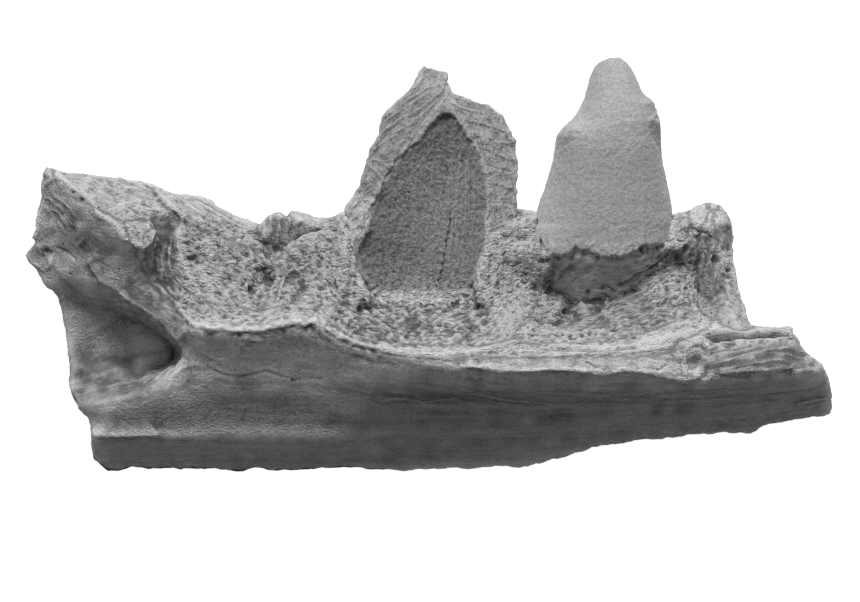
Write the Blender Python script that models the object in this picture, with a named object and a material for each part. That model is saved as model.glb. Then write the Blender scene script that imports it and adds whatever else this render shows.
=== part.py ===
# Fossil lower jaw fragment with two teeth, lying on its outer side, one object per solid
import math

import bmesh
import bpy
import numpy as np
from mathutils import Vector, noise
from mathutils.geometry import delaunay_2d_cdt

# Drawing units are hundredths of a millimetre: x to the right, y down, z up from the floor
UNIT = 0.00001
MID_X = 430.0
MID_Y = 264.5
BONE_STEP = 10.3
BONE_BACK_STEP = 26.0
TOOTH_STEP = 10.0
SOCKET_GAP = 1.5
BONE_TUCK = 4.0
TOOTH_TUCK = 2.0
CUTTER_TOP = 262.0
ROUND_POINTS = 24
CROWN_FULLNESS = 2.6
BONE_COLOUR = (0.33, 0.32, 0.30, 1.0)
BROKEN_TOOTH_COLOUR = (0.36, 0.35, 0.33, 1.0)
WHOLE_TOOTH_COLOUR = (0.40, 0.39, 0.37, 1.0)

# Edge of the bone, clockwise from the top left corner: x, y, height of the outer face, of the inner face
BONE_EDGE = [
    (47, 167, 34, 142), (56, 170, 34, 140), (65, 172, 33, 138), (78, 173, 32, 135),
    (92, 174, 32, 132), (106, 177, 31, 129), (120, 179, 31, 126), (135, 179, 31, 124),
    (146, 182, 30, 122), (157, 186, 30, 120), (168, 190, 30, 118), (178, 194, 30, 117),
    (190, 195, 30, 115), (200, 196, 30, 114), (208, 198, 30, 112), (217, 204, 30, 110),
    (225, 210, 30, 109), (236, 215, 30, 107), (248, 220, 30, 105), (258, 223, 30, 103),
    (264, 225, 30, 102), (266, 217, 30, 112), (275, 214, 30, 114), (283, 214, 30, 114),
    (291, 211, 30, 114), (300, 213, 30, 112), (314, 216, 30, 106), (324, 217, 30, 104),
    (332, 218, 30, 104), (339, 213, 30, 104), (348, 206, 28, 98), (372, 203, 26, 92),
    (400, 201, 25, 90), (430, 200, 25, 90), (460, 200, 25, 90), (490, 203, 26, 90),
    (512, 206, 28, 92), (519, 208, 30, 98), (527, 211, 30, 100), (533, 209, 30, 98),
    (545, 205, 28, 92), (570, 202, 26, 90), (605, 200, 26, 90), (640, 202, 26, 90),
    (662, 205, 27, 92), (671, 207, 28, 100), (675, 212, 29, 104), (687, 212, 30, 106),
    (692, 208, 30, 106), (696, 205, 31, 105), (705, 203, 31, 104), (714, 202, 31, 103),
    (719, 204, 31, 101), (724, 209, 31, 98), (730, 216, 31, 95), (732, 226, 31, 93),
    (733, 236, 31, 92), (734, 244, 30, 93), (733, 254, 29, 94), (735, 262, 28, 96),
    (736, 272, 28, 98), (738, 282, 27, 101), (740, 292, 26, 106), (744, 302, 26, 114),
    (748, 310, 26, 124), (747, 318, 26, 134), (750, 326, 26, 150), (764, 326, 26, 152),
    (778, 326, 27, 153), (791, 325, 28, 154), (795, 332, 29, 160), (798, 340, 29, 168),
    (803, 350, 30, 176), (812, 357, 31, 176), (820, 362, 32, 172), (825, 369, 33, 166),
    (829, 379, 35, 158), (831, 390, 37, 148), (832, 399, 40, 140), (833, 407, 44, 130),
    (834, 413, 48, 120), (824, 416, 52, 114), (812, 418, 54, 112), (798, 420, 56, 111),
    (784, 422, 57, 110), (770, 424, 58, 109), (764, 427, 58, 108), (757, 433, 58, 106),
    (740, 434, 58, 106), (722, 434, 58, 106), (706, 435, 58, 106), (689, 436, 58, 105),
    (677, 438, 59, 104), (655, 439, 59, 103), (633, 442, 59, 102), (615, 444, 60, 101),
    (598, 447, 60, 100), (584, 451, 60, 98), (572, 456, 60, 97), (552, 460, 60, 96),
    (540, 464, 60, 95), (530, 467, 60, 94), (514, 469, 60, 94), (500, 468, 60, 94),
    (484, 469, 60, 94), (470, 470, 60, 94), (450, 469, 60, 94), (432, 470, 60, 94),
    (410, 472, 60, 94), (390, 471, 60, 94), (370, 471, 60, 94), (360, 469, 60, 94),
    (350, 468, 60, 94), (338, 469, 60, 94), (310, 470, 60, 94), (290, 471, 60, 94),
    (274, 472, 60, 94), (266, 470, 60, 94), (250, 470, 60, 94), (236, 473, 60, 94),
    (224, 471, 60, 94), (204, 470, 60, 94), (180, 469, 60, 95), (156, 469, 60, 96),
    (137, 469, 59, 97), (131, 468, 58, 98), (124, 471, 57, 98), (116, 472, 56, 98),
    (107, 472, 55, 99), (101, 466, 52, 103), (94, 462, 47, 108), (91, 458, 44, 112),
    (90, 446, 38, 126), (91, 434, 33, 136), (91, 424, 28, 138), (90, 415, 25, 138),
    (84, 415, 24, 134), (78, 408, 22, 132), (75, 400, 20, 130), (69, 391, 18, 128),
    (69, 378, 16, 124), (69, 364, 15, 118), (67, 348, 14, 114), (66, 336, 13, 112),
    (63, 322, 12, 110), (61, 308, 12, 112), (57, 294, 13, 116), (52, 289, 14, 118),
    (45, 287, 16, 118), (38, 275, 20, 112), (32, 264, 26, 104), (26, 255, 34, 92),
    (31, 250, 32, 104), (37, 244, 30, 118), (33, 237, 31, 120), (35, 226, 31, 122),
    (36, 215, 32, 124), (40, 206, 32, 126), (42, 196, 33, 128), (40, 186, 33, 130),
    (42, 174, 34, 136),
]

# Ridges, steps and hollows of the inner face: x, y, height
BONE_FRONT_LINES = [
    # crest between the two broken facets of the left end
    [(46, 173, 142), (54, 178, 156), (62, 180, 168), (70, 186, 176), (78, 192, 182), (88, 199, 188),
     (95, 210, 192), (101, 217, 195), (111, 223, 197), (118, 232, 197), (125, 240, 196), (134, 244, 194),
     (144, 250, 190)],
    # far rim of the upper broken facet
    [(144, 250, 190), (152, 243, 182), (158, 233, 176)],
    [(152, 209, 164), (158, 204, 162), (167, 204, 166), (176, 210, 174), (183, 219, 180), (178, 226, 178),
     (172, 231, 174)],
    # scoop of curved layers beside the facet
    [(166, 238, 152), (161, 252, 146), (160, 268, 146), (165, 284, 150), (174, 298, 160)],
    [(178, 240, 170), (180, 256, 168), (184, 272, 168), (192, 288, 172), (204, 302, 182)],
    # upper lip of the hollow at the left end
    [(52, 286, 120), (62, 272, 136), (74, 264, 146), (88, 266, 152), (100, 281, 157), (115, 290, 160),
     (131, 303, 163), (149, 313, 166), (162, 324, 169), (173, 337, 172), (183, 349, 175), (186, 353, 176),
     (184, 359, 176), (178, 367, 176), (170, 373, 175), (160, 379, 174), (150, 386, 172), (138, 392, 170),
     (120, 398, 167), (105, 402, 163), (93, 404, 158)],
    # foot of the upper wall, floor and lower slope of the hollow
    [(72, 302, 116), (96, 306, 114), (118, 312, 107), (140, 321, 94), (154, 332, 79), (166, 343, 64),
     (173, 351, 55)],
    [(76, 350, 107), (96, 350, 101), (120, 352, 92), (142, 354, 78), (158, 356, 65), (170, 356, 57)],
    [(80, 379, 120), (100, 383, 122), (122, 380, 119), (144, 374, 109), (159, 368, 92), (172, 361, 70)],
    # rim that carries on from the hollow to the shelf
    [(186, 353, 176), (197, 360, 180), (214, 366, 184), (232, 371, 187), (258, 373, 188), (285, 375, 187)],
    # left part of the shelf edge
    [(166, 305, 170), (180, 316, 184), (191, 321, 196), (194, 329, 206), (208, 330, 212), (222, 330, 216),
     (238, 332, 219), (262, 331, 221), (274, 328, 222), (290, 324, 222), (304, 323, 221), (318, 322, 220),
     (327, 328, 218), (337, 336, 216), (350, 340, 215), (362, 345, 214), (384, 349, 213), (404, 351, 212),
     (426, 354, 212), (450, 353, 210), (472, 350, 208), (488, 347, 206), (512, 345, 204), (540, 347, 204),
     (566, 348, 205), (592, 349, 206), (618, 347, 206), (640, 343, 204), (662, 339, 200), (684, 335, 194),
     (704, 330, 184)],
    # lip of the shelf
    [(398, 356, 214), (412, 360, 216), (436, 364, 218), (464, 367, 222), (482, 368, 225), (505, 372, 228),
     (536, 371, 229), (552, 369, 229), (580, 371, 229), (604, 375, 228), (624, 371, 228), (650, 375, 227),
     (668, 377, 226), (684, 381, 223), (700, 377, 222), (726, 373, 222), (746, 371, 221), (770, 371, 218),
     (790, 368, 212), (806, 368, 202), (818, 372, 190)],
    # upper edge of the right flange, a groove and the ridge below it
    [(704, 331, 188), (726, 328, 180), (748, 329, 173), (770, 329, 170), (788, 329, 166)],
    [(706, 337, 174), (726, 336, 162), (750, 337, 156), (772, 336, 156), (790, 335, 160)],
    [(690, 342, 196), (704, 340, 192), (726, 344, 190), (750, 342, 188), (772, 340, 186), (793, 341, 182)],
    # lower face: groove, low ridge and the turn under
    [(200, 402, 168), (240, 404, 167), (290, 404, 168), (330, 402, 172), (370, 396, 180), (420, 394, 184),
     (470, 393, 188), (520, 395, 189), (570, 396, 189), (620, 395, 189), (670, 395, 188), (720, 392, 188),
     (770, 390, 184), (806, 388, 174)],
    [(93, 432, 158), (110, 434, 162), (132, 434, 163), (154, 436, 162), (180, 434, 161), (210, 432, 161),
     (250, 431, 161), (290, 431, 160), (330, 432, 157), (380, 432, 153), (440, 432, 150), (500, 432, 148),
     (560, 428, 147), (620, 422, 147), (680, 418, 146), (740, 416, 142), (800, 408, 138)],
    [(94, 442, 150), (120, 444, 150), (150, 445, 149), (200, 446, 146), (260, 447, 143), (330, 448, 139)],
    # small knob on the upper edge, the hollow under it and the ridge that closes it
    [(269, 219, 118), (280, 217, 120), (291, 215, 121), (300, 219, 118), (310, 225, 112)],
    [(268, 243, 104), (280, 249, 102), (293, 242, 104), (304, 233, 107)],
    [(284, 257, 130), (292, 250, 133), (304, 244, 134), (320, 238, 130), (336, 231, 124)],
    # bone of attachment round the broken tooth and the wall behind it
    [(343, 216, 126), (344, 240, 142), (346, 262, 147), (351, 284, 148), (361, 300, 143), (376, 307, 132),
     (400, 309, 131), (430, 310, 130), (456, 308, 132), (476, 303, 141), (487, 286, 147), (493, 268, 147),
     (498, 251, 145), (502, 239, 141), (510, 230, 134), (519, 219, 118)],
    [(362, 222, 104), (366, 246, 112), (374, 276, 112), (388, 291, 107), (410, 295, 104), (440, 295, 104),
     (460, 291, 108), (472, 272, 112), (481, 250, 112), (488, 234, 108), (498, 221, 100)],
    # bone of attachment round the whole tooth and the wall behind it
    [(529, 215, 110), (534, 226, 134), (538, 238, 154), (541, 249, 160), (545, 258, 152), (550, 265, 132)],
    [(677, 216, 112), (676, 228, 128), (671, 240, 138), (663, 246, 136), (652, 251, 126)],
    [(554, 222, 104), (556, 242, 104), (580, 244, 100), (620, 245, 100), (648, 234, 104), (656, 220, 104)],
    # pit under the whole tooth
    [(546, 268, 120), (560, 263, 114), (590, 262, 112), (620, 261, 112), (644, 258, 118)],
    [(552, 288, 118), (572, 292, 115), (596, 290, 116), (620, 284, 120), (640, 276, 126)],
    # broken socket wall at the right
    [(680, 226, 124), (690, 222, 126), (702, 224, 122), (712, 228, 118), (720, 222, 114), (727, 222, 108)],
    [(706, 243, 108), (708, 258, 100), (704, 276, 96), (702, 292, 100), (710, 304, 122)],
    [(694, 250, 126), (690, 266, 124), (692, 284, 128), (698, 300, 142), (708, 314, 160), (722, 322, 168)],
    [(722, 236, 112), (722, 252, 108), (724, 272, 108), (728, 290, 114)],
]

# Single heights on the inner face
BONE_FRONT_SPOTS = [
    (100, 194, 166), (124, 204, 172), (112, 210, 184), (140, 220, 178), (136, 198, 156), (148, 226, 174),
    (160, 218, 168), (60, 205, 158), (58, 232, 152), (80, 228, 172), (48, 262, 122), (104, 246, 180),
    (126, 268, 176), (148, 284, 166), (140, 262, 174), (110, 268, 168), (168, 268, 152), (176, 318, 178),
    (180, 335, 180), (190, 342, 190), (200, 222, 150), (222, 236, 142), (200, 250, 164), (216, 276, 164),
    (236, 256, 146), (248, 270, 138), (232, 300, 180), (262, 292, 140), (262, 310, 176), (300, 270, 132),
    (296, 300, 164), (322, 262, 130), (328, 290, 142), (330, 312, 170), (342, 240, 128), (346, 262, 132),
    (352, 288, 136), (352, 312, 152), (366, 322, 160), (384, 334, 180), (400, 312, 134), (420, 308, 128),
    (410, 332, 162), (446, 312, 134), (446, 334, 172), (470, 314, 138), (480, 334, 174), (494, 256, 140),
    (490, 282, 140), (508, 240, 134), (524, 226, 112), (530, 240, 118), (520, 262, 134), (536, 276, 128),
    (514, 290, 140), (512, 320, 172), (538, 306, 142), (540, 326, 172), (566, 312, 134), (572, 332, 176),
    (600, 310, 136), (606, 332, 178), (640, 300, 142), (644, 324, 180), (660, 262, 128), (670, 246, 124),
    (676, 284, 142), (680, 312, 172), (730, 306, 132), (730, 326, 162), (710, 352, 204), (750, 356, 208),
    (780, 356, 202), (806, 360, 192), (260, 352, 203), (230, 350, 202), (300, 352, 202), (330, 360, 198),
    (360, 368, 200), (300, 388, 176), (240, 388, 178), (160, 412, 164), (120, 416, 160), (210, 384, 178),
    (820, 392, 160), (812, 402, 144),
]

# Pits of the inner face: x, y, half width, depth
BONE_PITS = [
    (275, 249, 8, 16), (266, 276, 13, 26), (252, 291, 8, 15), (244, 284, 7, 12), (260, 304, 7, 12),
    (292, 276, 11, 16), (304, 288, 9, 11), (338, 320, 9, 12), (414, 334, 15, 20), (396, 337, 9, 14),
    (366, 330, 13, 12), (467, 300, 8, 15), (478, 308, 8, 14), (470, 331, 8, 11), (486, 322, 9, 10),
    (570, 312, 12, 20), (560, 321, 9, 14), (598, 310, 9, 13), (580, 336, 9, 13), (548, 322, 11, 9),
    (716, 258, 9, 12), (729, 270, 7, 9), (694, 360, 13, 14), (526, 222, 7, 9), (196, 264, 7, 8),
    (226, 278, 8, 8), (350, 297, 8, 8),
]

# Flat rest facet and the rounding of the outer face
BONE_BACK_LINES = [
    [(150, 330, 0), (240, 318, 0), (340, 314, 0), (440, 313, 0), (540, 316, 0), (640, 326, 0), (700, 342, 0),
     (712, 360, 0), (690, 374, 0), (600, 383, 0), (500, 388, 0), (400, 390, 0), (300, 389, 0), (200, 386, 0),
     (146, 376, 0), (134, 352, 0), (150, 330, 0)],
    [(92, 322, 5), (150, 300, 3), (240, 288, 3), (340, 284, 2.5), (440, 283, 2.5), (540, 286, 2.5),
     (640, 296, 3), (714, 318, 4), (762, 346, 7), (776, 366, 9), (740, 386, 6), (640, 398, 5),
     (520, 408, 5), (400, 411, 5), (280, 411, 5), (180, 407, 5), (108, 394, 6)],
    [(56, 262, 17), (100, 262, 13), (170, 256, 10), (260, 255, 9), (350, 254, 9), (440, 253, 9),
     (530, 254, 9), (620, 260, 10), (700, 276, 12)],
    [(100, 420, 16), (180, 430, 15), (280, 432, 15), (380, 432, 15), (480, 430, 15), (560, 424, 15),
     (640, 414, 16), (720, 404, 17), (790, 392, 24)],
    [(102, 446, 29), (180, 450, 31), (280, 452, 32), (380, 451, 32), (480, 450, 32), (550, 443, 33),
     (620, 430, 34), (700, 421, 35), (770, 411, 36), (812, 402, 38)],
    [(60, 212, 26), (140, 214, 21), (200, 224, 20), (260, 238, 17), (340, 232, 17), (440, 224, 17),
     (540, 226, 17), (640, 228, 18), (710, 236, 20)],
]
# Small openings for nerves on the outer face: x, y, half width, depth
BONE_BACK_PITS = [(196, 266, 11, 13), (338, 262, 12, 15), (482, 264, 12, 14), (628, 272, 11, 13)]

# Area of open, spongy bone
SPONGY_AREA = [
    (184, 240), (206, 214), (262, 232), (300, 226), (345, 222), (352, 262), (376, 304), (474, 300),
    (496, 244), (527, 216), (545, 236), (548, 262), (650, 262), (672, 236), (690, 232), (700, 262),
    (692, 292), (720, 318), (690, 330), (600, 342), (500, 340), (430, 346), (350, 334), (318, 316),
    (250, 322), (196, 316), (176, 292),
]

# Edge of the broken tooth, clockwise from its left foot
BROKEN_EDGE = [
    (362, 297, 62, 128), (354, 282, 62, 134), (349, 264, 61, 134), (347, 244, 60, 132), (348, 224, 59, 128),
    (349, 207, 58, 122), (353, 196, 57, 119), (359, 187, 56, 117), (362, 176, 56, 116), (365, 164, 56, 114),
    (369, 150, 57, 112), (374, 142, 58, 111), (379, 134, 58, 110), (380, 124, 59, 108), (381, 116, 60, 107),
    (388, 108, 61, 106), (397, 99, 62, 104), (405, 93, 63, 102), (412, 87, 64, 100), (418, 77, 65, 97),
    (421, 71, 66, 95), (425, 66, 67, 93), (434, 68, 67, 93), (446, 72, 67, 93), (447, 80, 66, 95),
    (451, 86, 65, 97), (455, 91, 64, 99), (464, 95, 63, 101), (477, 101, 62, 102), (491, 104, 61, 103),
    (498, 111, 60, 104), (504, 120, 59, 105), (509, 126, 59, 106), (511, 135, 58, 108), (515, 141, 57, 109),
    (516, 152, 57, 111), (517, 166, 56, 113), (516, 182, 56, 116), (516, 198, 57, 118), (517, 206, 58, 120),
    (514, 219, 58, 124), (503, 229, 59, 130), (495, 239, 60, 133), (492, 252, 61, 135), (486, 266, 61, 136),
    (481, 283, 62, 136), (474, 298, 62, 130), (456, 303, 62, 124), (436, 304, 62, 122), (414, 304, 62, 122),
    (392, 302, 62, 122), (376, 300, 62, 124),
]
BROKEN_FRONT_LINES = [
    # rim of the open pulp cavity
    [(445, 106, 112), (439, 113, 114), (432, 122, 117), (424, 133, 119), (416, 142, 121), (406, 150, 123),
     (397, 158, 125), (391, 168, 127), (385, 178, 129), (379, 190, 131), (375, 202, 133), (371, 217, 135),
     (369, 230, 137), (362, 238, 138), (357, 245, 138), (357, 258, 139), (362, 272, 139), (370, 286, 134)],
    [(445, 106, 112), (451, 112, 114), (457, 119, 116), (464, 130, 118), (471, 141, 120), (477, 150, 121),
     (482, 160, 123), (485, 172, 125), (487, 188, 127), (487, 204, 129), (488, 220, 131), (487, 236, 134),
     (482, 250, 136), (477, 263, 137), (473, 281, 136)],
    # foot of the cavity walls
    [(445, 120, 92), (438, 130, 90), (428, 144, 88), (416, 156, 84), (405, 170, 80), (396, 188, 76),
     (389, 208, 75), (384, 228, 76), (378, 248, 79), (378, 266, 86), (386, 284, 102), (392, 294, 114)],
    [(451, 124, 91), (459, 138, 88), (467, 152, 84), (473, 170, 80), (476, 190, 77), (477, 210, 76),
     (474, 230, 78), (470, 248, 82), (464, 266, 90), (458, 282, 104), (452, 294, 114)],
    # axis of the cavity
    [(444, 138, 80), (441, 160, 72), (437, 185, 67), (433, 210, 65), (430, 235, 68), (427, 258, 76),
     (424, 276, 90), (422, 292, 110)],
]
BROKEN_BACK_LINES = [
    [(436, 92, 46), (440, 120, 36), (440, 150, 31), (438, 185, 29), (434, 220, 34), (430, 260, 42),
     (426, 285, 48)],
    [(408, 118, 44), (398, 150, 38), (388, 190, 36), (380, 230, 40), (380, 268, 46)],
    [(476, 118, 44), (486, 150, 38), (488, 190, 36), (478, 230, 40), (466, 268, 46)],
]

# Whole tooth: y, left x, right x, outer height, inner height
WHOLE_STATIONS = [
    (57.5, 613, 622, 84, 98), (60, 605, 626, 80, 104), (63, 599, 630, 77, 108), (68, 595, 632, 73, 113),
    (75, 591, 636, 68, 119), (84, 589, 641, 62, 125), (92, 587, 644, 57, 130), (98, 585, 650, 54, 134),
    (105, 582, 656, 51, 137), (112, 578, 659, 48, 140), (118, 574, 661, 46, 142), (124, 569, 662, 44, 144),
    (130, 561, 662, 42, 145), (136, 558, 662, 41, 146), (146, 556, 663, 40, 148), (158, 553, 664, 39, 150),
    (170, 550, 666, 39, 153), (182, 546, 668, 40, 156), (194, 541, 670, 42, 160), (204, 537, 671, 45, 162),
    (214, 534, 672, 49, 165), (226, 532, 673, 53, 168), (238, 531, 673, 57, 170), (250, 532, 672, 60, 171),
    (260, 534, 670, 62, 171),
]
# Ragged foot of the whole tooth: x, y
WHOLE_FOOT = [
    (531, 262), (545, 259), (553, 257), (564, 255), (571, 251), (578, 249), (586, 252), (592, 257),
    (606, 257), (618, 258), (629, 257), (634, 249), (640, 248), (650, 246), (661, 246), (673, 244),
]


def spot(x, y, z):
    return Vector(((x - MID_X) * UNIT, (MID_Y - y) * UNIT, z * UNIT))


def resampled(points, step, closed=False):
    """Points along a polyline at most one step apart, keeping every corner."""
    points = [np.array(p, float) for p in points]
    ends = points[1:] + points[:1] if closed else points[1:]
    out = []
    for a, b in zip(points, ends):
        count = max(1, math.ceil(np.linalg.norm((b - a)[:2]) / step))
        out += [a + (b - a) * i / count for i in range(count)]
    if not closed:
        out.append(points[-1])
    return out


def inside(x, y, polygon):
    hit = False
    for a, b in zip(polygon, polygon[1:] + polygon[:1]):
        if (a[1] > y) != (b[1] > y) and x < (b[0] - a[0]) * (y - a[1]) / (b[1] - a[1]) + a[0]:
            hit = not hit
    return hit


def grown(edge, gap):
    """The same outline with each corner moved outwards, for a pocket with clearance."""
    out = []
    count = len(edge)
    for i, (x, y, low, high) in enumerate(edge):
        before, after = edge[i - 1], edge[(i + 1) % count]
        along = Vector((after[0] - before[0], after[1] - before[1])).normalized()
        out.append((x + along.y * gap, y - along.x * gap, low, high))
    return out


def inward(ring, i, shift):
    before, after = ring[i - 2], ring[(i + 2) % len(ring)]
    along = Vector((after[0] - before[0], after[1] - before[1])).normalized()
    return ring[i][0] - along.y * shift, ring[i][1] + along.x * shift


def relief(ring, heights, lines, spots, step, rough, pits):
    """A triangulated height surface inside the ring that keeps every line as a crease."""
    points = [(p[0], p[1]) for p in ring]
    fixed = dict(enumerate(heights))
    edges = [(i, (i + 1) % len(ring)) for i in range(len(ring))]
    seen = {}
    for line in lines:
        last = None
        for p in resampled(line, step):
            key = (round(float(p[0]), 2), round(float(p[1]), 2))
            if key not in seen:
                seen[key] = len(points)
                fixed[len(points)] = float(p[2])
                points.append(key)
            if last is not None and last != seen[key]:
                edges.append((last, seen[key]))
            last = seen[key]
    for x, y, z in spots:
        fixed[len(points)] = z
        points.append((x, y))
    placed = np.array(points)
    outline = [tuple(p) for p in placed[: len(ring)]]
    low, high = placed.min(axis=0), placed.max(axis=0)
    for row, y in enumerate(np.arange(low[1] + step / 2, high[1], step * 0.87)):
        for x in np.arange(low[0] + step * (0.5 + 0.5 * (row % 2)), high[0], step):
            place = Vector((x * 0.37, y * 0.37, 3.5))
            px = x + 0.25 * step * noise.noise(place)
            py = y + 0.25 * step * noise.noise(place + Vector((0.0, 0.0, 20.0)))
            if inside(px, py, outline) and np.hypot(*(placed - (px, py)).T).min() > 0.62 * step:
                points.append((px, py))
    made = delaunay_2d_cdt([Vector(p) for p in points], edges, [], 1, 1e-5)
    flat, faces, origin = made[0], made[2], made[3]
    names = [min(o) if o else None for o in origin]
    count = len(flat)
    z = np.full(count, float(np.mean(heights)))
    held = np.zeros(count, bool)
    for i, name in enumerate(names):
        if name in fixed:
            z[i] = fixed[name]
            held[i] = True
    middle = [sum((flat[i] for i in f), Vector((0, 0))) / len(f) for f in faces]
    faces = [f for f, m in zip(faces, middle) if inside(m.x, m.y, outline)]
    pairs = np.array(sorted({tuple(sorted((f[i], f[i - 1]))) for f in faces for i in range(len(f))}))
    degree = np.bincount(pairs.ravel(), minlength=count).clip(1)
    near = np.concatenate([pairs, pairs[:, ::-1]])

    def average(values):
        return np.bincount(near[:, 0], values[near[:, 1]], minlength=count) / degree

    for _ in range(900):
        z = np.where(held, z, average(z))
    at_edge = np.array([name is not None and name < len(ring) for name in names])
    on_line = np.array([name is not None and name < len(ring) + len(seen) for name in names])
    for _ in range(2):
        z = np.where(on_line, z, 0.5 * z + 0.5 * average(z))
    for i in range(count):
        if at_edge[i]:
            continue
        x, y = flat[i]
        z[i] += rough(x, y)
        for px, py, size, depth in pits:
            away = ((x - px) ** 2 + (y - py) ** 2) / size**2
            if away < 1:
                z[i] -= depth * (1 - away) ** 2
    order = {name: i for i, name in enumerate(names) if name is not None and name < len(ring)}
    return [(p.x, p.y, h) for p, h in zip(flat, z)], faces, [order[i] for i in range(len(ring))]


def relief_solid(name, edge, front, back, step, back_step, tuck):
    """A closed solid from an outline, an inner relief and an outer relief, whose side wall tucks in."""
    ring = resampled(edge, step, closed=True)
    low, high = [float(p[2]) for p in ring], [float(p[3]) for p in ring]
    top = relief(ring, high, front[0], front[1], step, front[2], front[3])
    hollows = [(x, y, size, -depth) for x, y, size, depth in back[3]]
    base = relief(ring, low, back[0], back[1], back_step, back[2], hollows)
    shape = bmesh.new()
    upper = [shape.verts.new(spot(*p)) for p in top[0]]
    lower = [shape.verts.new(spot(*p)) for p in base[0]]
    for face in top[1]:
        shape.faces.new([upper[i] for i in face])
    for face in base[1]:
        shape.faces.new([lower[i] for i in reversed(face)])
    rows = [[upper[i] for i in top[2]]]
    tucked = [lower[i] for i in base[2]]
    shares = (0.3, 0.66) if max(high) - min(low) > 60 else (0.5,)
    for share in shares:
        row = []
        for i, p in enumerate(ring):
            wave = noise.noise(Vector((p[0] * 0.06, p[1] * 0.06, 9.0 + 7.0 * share)))
            shift = tuck * (1.35 * share + 0.7 * wave * (1 - share))
            drift = 0.12 * noise.noise(Vector((p[0] * 0.1, p[1] * 0.1, share)))
            level = high[i] + (low[i] - high[i]) * (share + drift)
            row.append(shape.verts.new(spot(*inward(ring, i, max(0.3, shift)), level)))
        rows.append(row)
    for i, p in enumerate(ring):
        shift = tuck * (1.5 + 0.6 * noise.noise(Vector((p[0] * 0.05, p[1] * 0.05, 30.0))))
        tucked[i].co = spot(*inward(ring, i, shift), low[i])
    rows.append(tucked)
    for a, b in zip(rows, rows[1:]):
        for i in range(len(ring)):
            j = (i + 1) % len(ring)
            shape.faces.new([a[i], a[j], b[j]])
            shape.faces.new([a[i], b[j], b[i]])
    return finished(name, shape)


def finished(name, shape):
    loose = [v for v in shape.verts if not v.link_faces]
    bmesh.ops.delete(shape, geom=loose, context="VERTS")
    bmesh.ops.triangulate(shape, faces=shape.faces[:])
    bmesh.ops.recalc_face_normals(shape, faces=shape.faces[:])
    mesh = bpy.data.meshes.new(name)
    shape.to_mesh(mesh)
    shape.free()
    body = bpy.data.objects.new(name, mesh)
    bpy.context.collection.objects.link(body)
    return body


def crown(name, stations, foot, gap):
    """A rounded tooth lofted through its stations, with a ragged foot."""
    rows = resampled([(s[0], 0.0, s[1], s[2], s[3], s[4]) for s in stations], TOOTH_STEP)
    shape = bmesh.new()
    rings = []
    foot_x, foot_y = zip(*foot)
    for row in rows:
        y, _, left, right, low, high = (float(v) for v in row)
        middle, half = (left + right) / 2, (right - left) / 2 + gap
        centre = (low + high) / 2
        ring = []
        for i in range(ROUND_POINTS):
            angle = 2 * math.pi * i / ROUND_POINTS
            c, s = math.cos(angle), math.sin(angle)
            across = math.copysign(abs(c) ** (2 / CROWN_FULLNESS), c)
            up = math.copysign(abs(s) ** (2 / CROWN_FULLNESS), s)
            reach = (high - low) / 2 + gap
            x = middle + half * across
            end = float(np.interp(x, foot_x, foot_y)) + gap + (y - stations[-1][0]) * 0.04
            ring.append(shape.verts.new(spot(x, min(y, end), centre + reach * up)))
        rings.append(ring)
    for a, b in zip(rings, rings[1:]):
        for i in range(ROUND_POINTS):
            j = (i + 1) % ROUND_POINTS
            shape.faces.new([a[i], a[j], b[j], b[i]])
    for ring, lift in ((rings[0], -1.5 - gap), (rings[-1], 0.0)):
        middle = sum((v.co for v in ring), Vector()) / ROUND_POINTS
        tip = shape.verts.new(middle + Vector((0, -lift * UNIT, 0)))
        for i in range(ROUND_POINTS):
            shape.faces.new([ring[i], ring[(i + 1) % ROUND_POINTS], tip])
    return finished(name, shape)


def painted(body, colour, roughness):
    material = bpy.data.materials.new(body.name)
    material.use_nodes = True
    shader = material.node_tree.nodes["Principled BSDF"]
    shader.inputs["Base Color"].default_value = colour
    shader.inputs["Roughness"].default_value = roughness
    shader.inputs["Metallic"].default_value = 0.0
    body.data.materials.append(material)


def cut_from(body, cutter):
    cutter.hide_render = True
    cutter.display_type = "WIRE"
    cut = body.modifiers.new(cutter.name, "BOOLEAN")
    cut.operation = "DIFFERENCE"
    cut.solver = "EXACT"
    cut.object = cutter


def bone_rough(x, y):
    grain = noise.noise(Vector((x * 0.085, y * 0.085, 0.0)))
    grain += 0.6 * noise.noise(Vector((x * 0.2, y * 0.2, 5.0)))
    if inside(x, y, SPONGY_AREA):
        return 4.2 * grain
    if y > 376 + 0.02 * x:
        return 0.7 * grain
    return 1.4 * grain


def tooth_rough(x, y):
    return 1.3 * noise.noise(Vector((x * 0.09, y * 0.09, 2.0)))


def back_rough(x, y):
    return 0.0


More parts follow.
